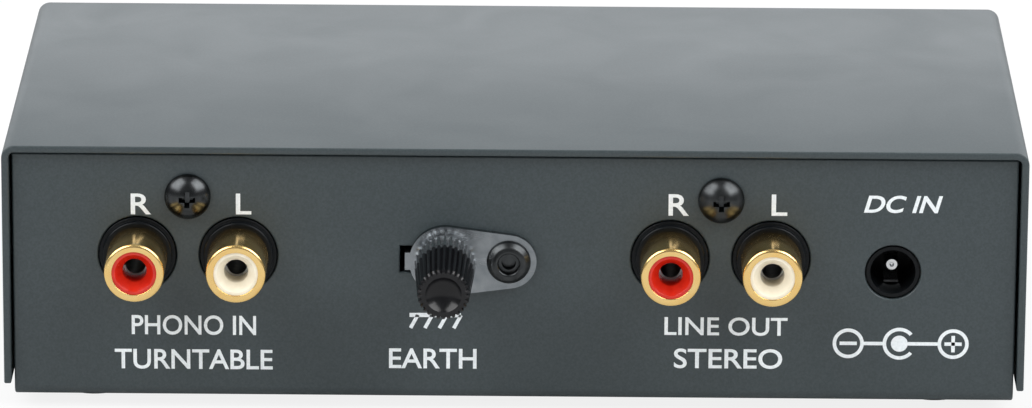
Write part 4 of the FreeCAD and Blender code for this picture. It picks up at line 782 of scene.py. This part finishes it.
washer = turn([
    (KNOB_BORE, PLATE_GAUGE, 0),
    (WASHER_RADIUS, PLATE_GAUGE, 0.1),
    (WASHER_RADIUS, neck_start, 0.15),
    (KNOB_BORE, neck_start, 0.1),
    (KNOB_BORE, PLATE_GAUGE, 0),
], sides=64)
face_out(washer, stud.x, stud.z)
keep(washer, "terminal_washer", NICKEL, "nickel_plate", body_of["ground_washer"], "ground_washer")

# %% [markdown]
# The power socket's moulding sits behind a plain round hole, with a thin pin in its middle that has
# a small dimple in its end. The moulding itself is left as the solid has it, and the dark depth of
# the hole does the rest.

# %% Power socket
PIN_RADIUS, PIN_RECESS, PIN_TAIL, PIN_DIMPLE = 1.0, 3.8, 15.5, 0.3

power_pin = centre_line["dc_jack_pin"]
low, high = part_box("dc_jack_housing")
dc_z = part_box("dc_jack_pin")[1].z - PIN_RADIUS * MM
print("power socket axis at z =", round(dc_z / MM, 3), "mm")
pin = turn([
    (0, -PIN_TAIL, 0),
    (PIN_RADIUS, -PIN_TAIL, 0),
    (PIN_RADIUS, -PIN_RECESS - 0.3, 0.1),
    (PIN_RADIUS - 0.2, -PIN_RECESS, 0.15),
    (PIN_DIMPLE, -PIN_RECESS, 0.05),
    (PIN_DIMPLE / 2, -PIN_RECESS - 0.4, 0),
    (0, -PIN_RECESS - 0.4, 0),
], sides=48)
face_out(pin, power_pin.x, dc_z)
tail_low, tail_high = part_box("dc_jack_pin")
tail = block((tail_low.x, tail_high.y - TAIL_GAUGE * MM, tail_low.z), (tail_high.x, tail_high.y, dc_z))
apply_modifier(tail, "BEVEL", width=0.08 * MM, segments=2)
keep(joined(pin, tail), "power_socket_pin", NICKEL, "nickel_plate", "case", "dc_jack_pin")

# %% [markdown]
# The feet are moulded rubber discs with a soft lower edge. The power light on the front panel is a
# small tinted lens. Both are turned, and the feet are copies of one.

# %% Feet and power light
FOOT_RADIUS, FOOT_HEIGHT = 5.0, 1.8
foot = turn([
    (0, 0, 0),
    (FOOT_RADIUS - 0.9, 0, 0),
    (FOOT_RADIUS, 0, 0.5),
    (FOOT_RADIUS, FOOT_HEIGHT, 0.05),
    (0, FOOT_HEIGHT, 0),
], sides=64)
for depth in ("rear", "front"):
    for side in ("left", "right"):
        node = f"foot_{depth}_{side}"
        place = centre_line[node]
        disc = copy_of(foot, Vector((place.x, place.y, 0)))
        keep(disc, f"rubber_{node}", RUBBER, "foot_rubber", "case", node)
bpy.data.objects.remove(foot)

LIGHT_RADIUS, LIGHT_RIM, LIGHT_LENGTH, LIGHT_PROUD = 1.5, 1.9, 4.6, 0.8
light_axis = centre_line["power_light"]
front_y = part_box("chassis")[1].y
lens_dome = [
    (LIGHT_RADIUS * math.cos(angle), LIGHT_PROUD - LIGHT_RADIUS + LIGHT_RADIUS * math.sin(angle), 0)
    for angle in (math.pi / 20 * step for step in range(0, 10))
]
light = turn([
    (0, LIGHT_PROUD - LIGHT_LENGTH, 0),
    (LIGHT_RIM, LIGHT_PROUD - LIGHT_LENGTH, 0.1),
    (LIGHT_RIM, LIGHT_PROUD - LIGHT_LENGTH + 0.8, 0.1),
    (LIGHT_RADIUS, LIGHT_PROUD - LIGHT_LENGTH + 0.8, 0),
] + lens_dome + [(0, LIGHT_PROUD, 0)], sides=48)
light.rotation_euler = (-math.pi / 2, 0, 0)
light.location = (light_axis.x, front_y, light_axis.z)
keep(light, "power_light_lens", GREEN_LENS, "light_lens", "case", "power_light")

# %% [markdown]
# The panel's print is a thin layer of pale ink. The legends here are plain, generic words and signs
# in the places where such a panel has them. Each word is typed, made a mesh, given the ink's
# thickness, and scaled to the height and width of its line. It rides on the case as the panel does.

# %% Print on the panel
INK_THICKNESS = 0.03
panel_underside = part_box("chassis")[0].z / MM
signs = []


def print_word(text, x_low, x_high, z_low, z_high, weight=0.0, slant=0.0):
    """Type a word and fit it to its place on the panel, given in mm above the case's floor."""
    nothing_selected()
    bpy.ops.object.text_add(location=(0, 0, 0))
    word = bpy.context.object
    word.data.body = text
    word.data.offset = weight
    word.data.shear = slant
    word.data.resolution_u = 6
    bpy.ops.object.convert(target="MESH")
    word = bpy.context.object
    xs = [point.co.x for point in word.data.vertices]
    ys = [point.co.y for point in word.data.vertices]
    scale_x = (x_high - x_low) * MM / (max(xs) - min(xs))
    scale_z = (z_high - z_low) * MM / (max(ys) - min(ys))
    for point in word.data.vertices:
        point.co = Vector((
            x_low * MM + (point.co.x - min(xs)) * scale_x,
            panel_y,
            (panel_underside + z_low) * MM + (point.co.y - min(ys)) * scale_z,
        ))
    signs.append(word)


print_word("R", -53.19, -50.37, 26.5, 29.5, weight=0.012)
print_word("L", -38.63, -36.49, 26.6, 29.6, weight=0.012)
print_word("PHONO IN", -53.2, -35.9, 9.04, 11.9, weight=0.012)
print_word("TURNTABLE", -55.6, -33.6, 4.03, 6.94, weight=0.012)
print_word("EARTH", -17.4, -5.2, 4.41, 7.31, weight=0.012)
print_word("R", 21.26, 24.09, 26.9, 30.0, weight=0.012)
print_word("L", 35.52, 37.70, 27.0, 30.07, weight=0.012)
print_word("LINE OUT", 20.9, 38.0, 9.54, 12.2, weight=0.012)
print_word("STEREO", 22.27, 37.35, 4.71, 7.6, weight=0.012)
print_word("DC IN", 48.3, 59.2, 27.52, 30.04, weight=0.02, slant=0.25)

# %% [markdown]
# The two signs are line drawings: an earth sign, which is a bar with four slanting strokes, and the
# usual polarity sign, with a minus in a ring, a ring open to the right round a dot, and a plus in a
# ring. Strokes are thin blocks, and rings are a flat circle inset and emptied.

# %% Signs on the panel
LINE = 0.5


def print_stroke(x1, z1, x2, z2, width=LINE):
    """A straight stroke between two points of the panel."""
    start, end = Vector((x1, 0, z1 + panel_underside)), Vector((x2, 0, z2 + panel_underside))
    middle, along = (start + end) / 2, end - start
    nothing_selected()
    bpy.ops.mesh.primitive_plane_add(size=1)
    stroke = bpy.context.object
    stroke.scale = (along.length * MM, width * MM, 1)
    bpy.ops.object.transform_apply(scale=True)
    lean = math.atan2(along.z, along.x)
    turn_up = Matrix.Rotation(math.pi / 2, 4, "X")
    lay_over = Matrix.Rotation(-lean, 4, "Y")
    place = Matrix.Translation(Vector((middle.x * MM, panel_y, middle.z * MM)))
    stroke.data.transform(place @ lay_over @ turn_up)
    signs.append(stroke)


def print_ring(x, z, outer, inner, open_half_angle=0.0):
    """A ring, or a dot if it has no inner radius, open to the right by the given half angle."""
    nothing_selected()
    bpy.ops.mesh.primitive_circle_add(vertices=64, radius=outer * MM, fill_type="NGON")
    ring = bpy.context.object
    if inner:
        bpy.ops.object.mode_set(mode="EDIT")
        bpy.ops.mesh.inset(thickness=(outer - inner) * MM)
        bpy.ops.mesh.delete(type="FACE")
        if open_half_angle:
            select(ring, "FACE", lambda face: abs(math.atan2(face.center.y, face.center.x))
                   < open_half_angle)
            bpy.ops.mesh.delete(type="FACE")
        bpy.ops.object.mode_set(mode="OBJECT")
    ring.data.transform(Matrix.Translation(Vector((x * MM, panel_y, (z + panel_underside) * MM)))
                        @ Matrix.Rotation(math.pi / 2, 4, "X"))
    signs.append(ring)


print_stroke(-14.56, 12.2, -7.4, 12.2, 0.6)
for step in range(4):
    foot_x = -14.3 + step * 2.0
    print_stroke(foot_x + 0.9, 12.2, foot_x - 0.1, 10.3)
POLARITY_Z = 8.55
MINUS_X, RING_X, PLUS_X = 46.49, 53.6, 61.08
SIGN_RADIUS, RING_RADIUS, DOT_RADIUS = 2.17, 2.33, 1.17
for x in (MINUS_X, PLUS_X):
    print_ring(x, POLARITY_Z, SIGN_RADIUS, SIGN_RADIUS - LINE)
    print_stroke(x - 1.2, POLARITY_Z, x + 1.2, POLARITY_Z)
print_stroke(PLUS_X, POLARITY_Z - 1.2, PLUS_X, POLARITY_Z + 1.2)
print_ring(RING_X, POLARITY_Z, RING_RADIUS, RING_RADIUS - LINE, math.radians(38))
print_ring(RING_X, POLARITY_Z, DOT_RADIUS, 0)
print_stroke(MINUS_X + SIGN_RADIUS, POLARITY_Z, RING_X - RING_RADIUS, POLARITY_Z)
print_stroke(RING_X + DOT_RADIUS, POLARITY_Z, PLUS_X - SIGN_RADIUS, POLARITY_Z)

legend = joined(*signs)
apply_modifier(legend, "SOLIDIFY", thickness=INK_THICKNESS * MM, offset=1)
only(legend)
bpy.ops.object.mode_set(mode="EDIT")
bpy.ops.mesh.select_all(action="SELECT")
bpy.ops.mesh.normals_make_consistent(inside=False)
bpy.ops.object.mode_set(mode="OBJECT")
keep(legend, "panel_print", INK, "painted_steel", "case")

# %% [markdown]
# The floor is a plain pale sheet. The camera sees it as white, while it still takes a soft shadow,
# and the metal parts see it as grey in their reflections. The world is dark overhead and in front
# and bright behind the case, so the top, seen at a low angle, is lighter than the panel. Two broad
# lamps, high at the left and the right, give the pair of soft highlights that the domed screw heads
# and the dish of the knob show.

# %% Floor, lamps and world
FLOOR_TONE, FLOOR_IN_REFLECTIONS, FLOOR_GLOW = 0.82, 0.5, 0.85
SKY_FRONT, SKY_BACKDROP = 0.22, 1.6
BACKDROP_STARTS, BACKDROP_FULL = 0.15, 0.85
LAMP_X, LAMP_Y, LAMP_Z, LAMP_SIZE = 0.72, -0.36, 0.8, 0.9

scene = bpy.context.scene
scene.view_settings.view_transform = "Standard"

floor_material = bpy.data.materials.new("pale_floor")
floor_material.use_nodes = True
nodes, links = floor_material.node_tree.nodes, floor_material.node_tree.links
plain = nodes["Principled BSDF"]
plain.inputs["Roughness"].default_value = 0.9
glow = nodes.new("ShaderNodeEmission")
glow.inputs["Color"].default_value = (1, 1, 1, 1)
seen = nodes.new("ShaderNodeLightPath")
share = nodes.new("ShaderNodeMath")
share.operation = "MULTIPLY"
share.inputs[1].default_value = FLOOR_GLOW
links.new(seen.outputs["Is Camera Ray"], share.inputs[0])
mix = nodes.new("ShaderNodeMixShader")
links.new(share.outputs[0], mix.inputs["Fac"])
links.new(plain.outputs[0], mix.inputs[1])
links.new(glow.outputs[0], mix.inputs[2])
links.new(mix.outputs[0], nodes["Material Output"].inputs["Surface"])
dimmed = nodes.new("ShaderNodeMapRange")
dimmed.inputs["To Min"].default_value = FLOOR_TONE
dimmed.inputs["To Max"].default_value = FLOOR_IN_REFLECTIONS
links.new(seen.outputs["Is Glossy Ray"], dimmed.inputs["Value"])
links.new(dimmed.outputs["Result"], plain.inputs["Base Color"])

nothing_selected()
bpy.ops.mesh.primitive_plane_add(size=8, location=(0, 1.5, 0))
floor = bpy.context.object
floor.name = "floor"
floor.data.materials.append(floor_material)

world = bpy.data.worlds.new("studio")
world.use_nodes = True
nodes, links = world.node_tree.nodes, world.node_tree.links
sky = nodes["Background"]
sky.inputs["Color"].default_value = (0.94, 0.97, 1.0, 1)
direction = nodes.new("ShaderNodeTexCoord")
sky_axes = nodes.new("ShaderNodeSeparateXYZ")
links.new(direction.outputs["Generated"], sky_axes.inputs[0])
backdrop = nodes.new("ShaderNodeMapRange")
backdrop.inputs["From Min"].default_value = BACKDROP_STARTS
backdrop.inputs["From Max"].default_value = BACKDROP_FULL
backdrop.inputs["To Min"].default_value = SKY_FRONT
backdrop.inputs["To Max"].default_value = SKY_BACKDROP
links.new(sky_axes.outputs["Y"], backdrop.inputs["Value"])
looked_at = nodes.new("ShaderNodeLightPath")
brightest = nodes.new("ShaderNodeMath")
brightest.operation = "MAXIMUM"
links.new(backdrop.outputs["Result"], brightest.inputs[0])
links.new(looked_at.outputs["Is Camera Ray"], brightest.inputs[1])
links.new(brightest.outputs[0], sky.inputs["Strength"])
scene.world = world


def softbox(name, place, aim, width, height, power):
    lamp = bpy.data.lights.new(name, "AREA")
    lamp.shape = "RECTANGLE"
    lamp.size, lamp.size_y, lamp.energy = width, height, power
    holder = bpy.data.objects.new(name, lamp)
    scene.collection.objects.link(holder)
    holder.location = place
    holder.rotation_euler = (Vector(aim) - Vector(place)).to_track_quat("-Z", "Y").to_euler()


for name, x, power in (("left_softbox", -LAMP_X, 11.0), ("right_softbox", LAMP_X, 12.0)):
    softbox(name, (x, LAMP_Y, LAMP_Z), (0, 0, 0.02), LAMP_SIZE, LAMP_SIZE, power)
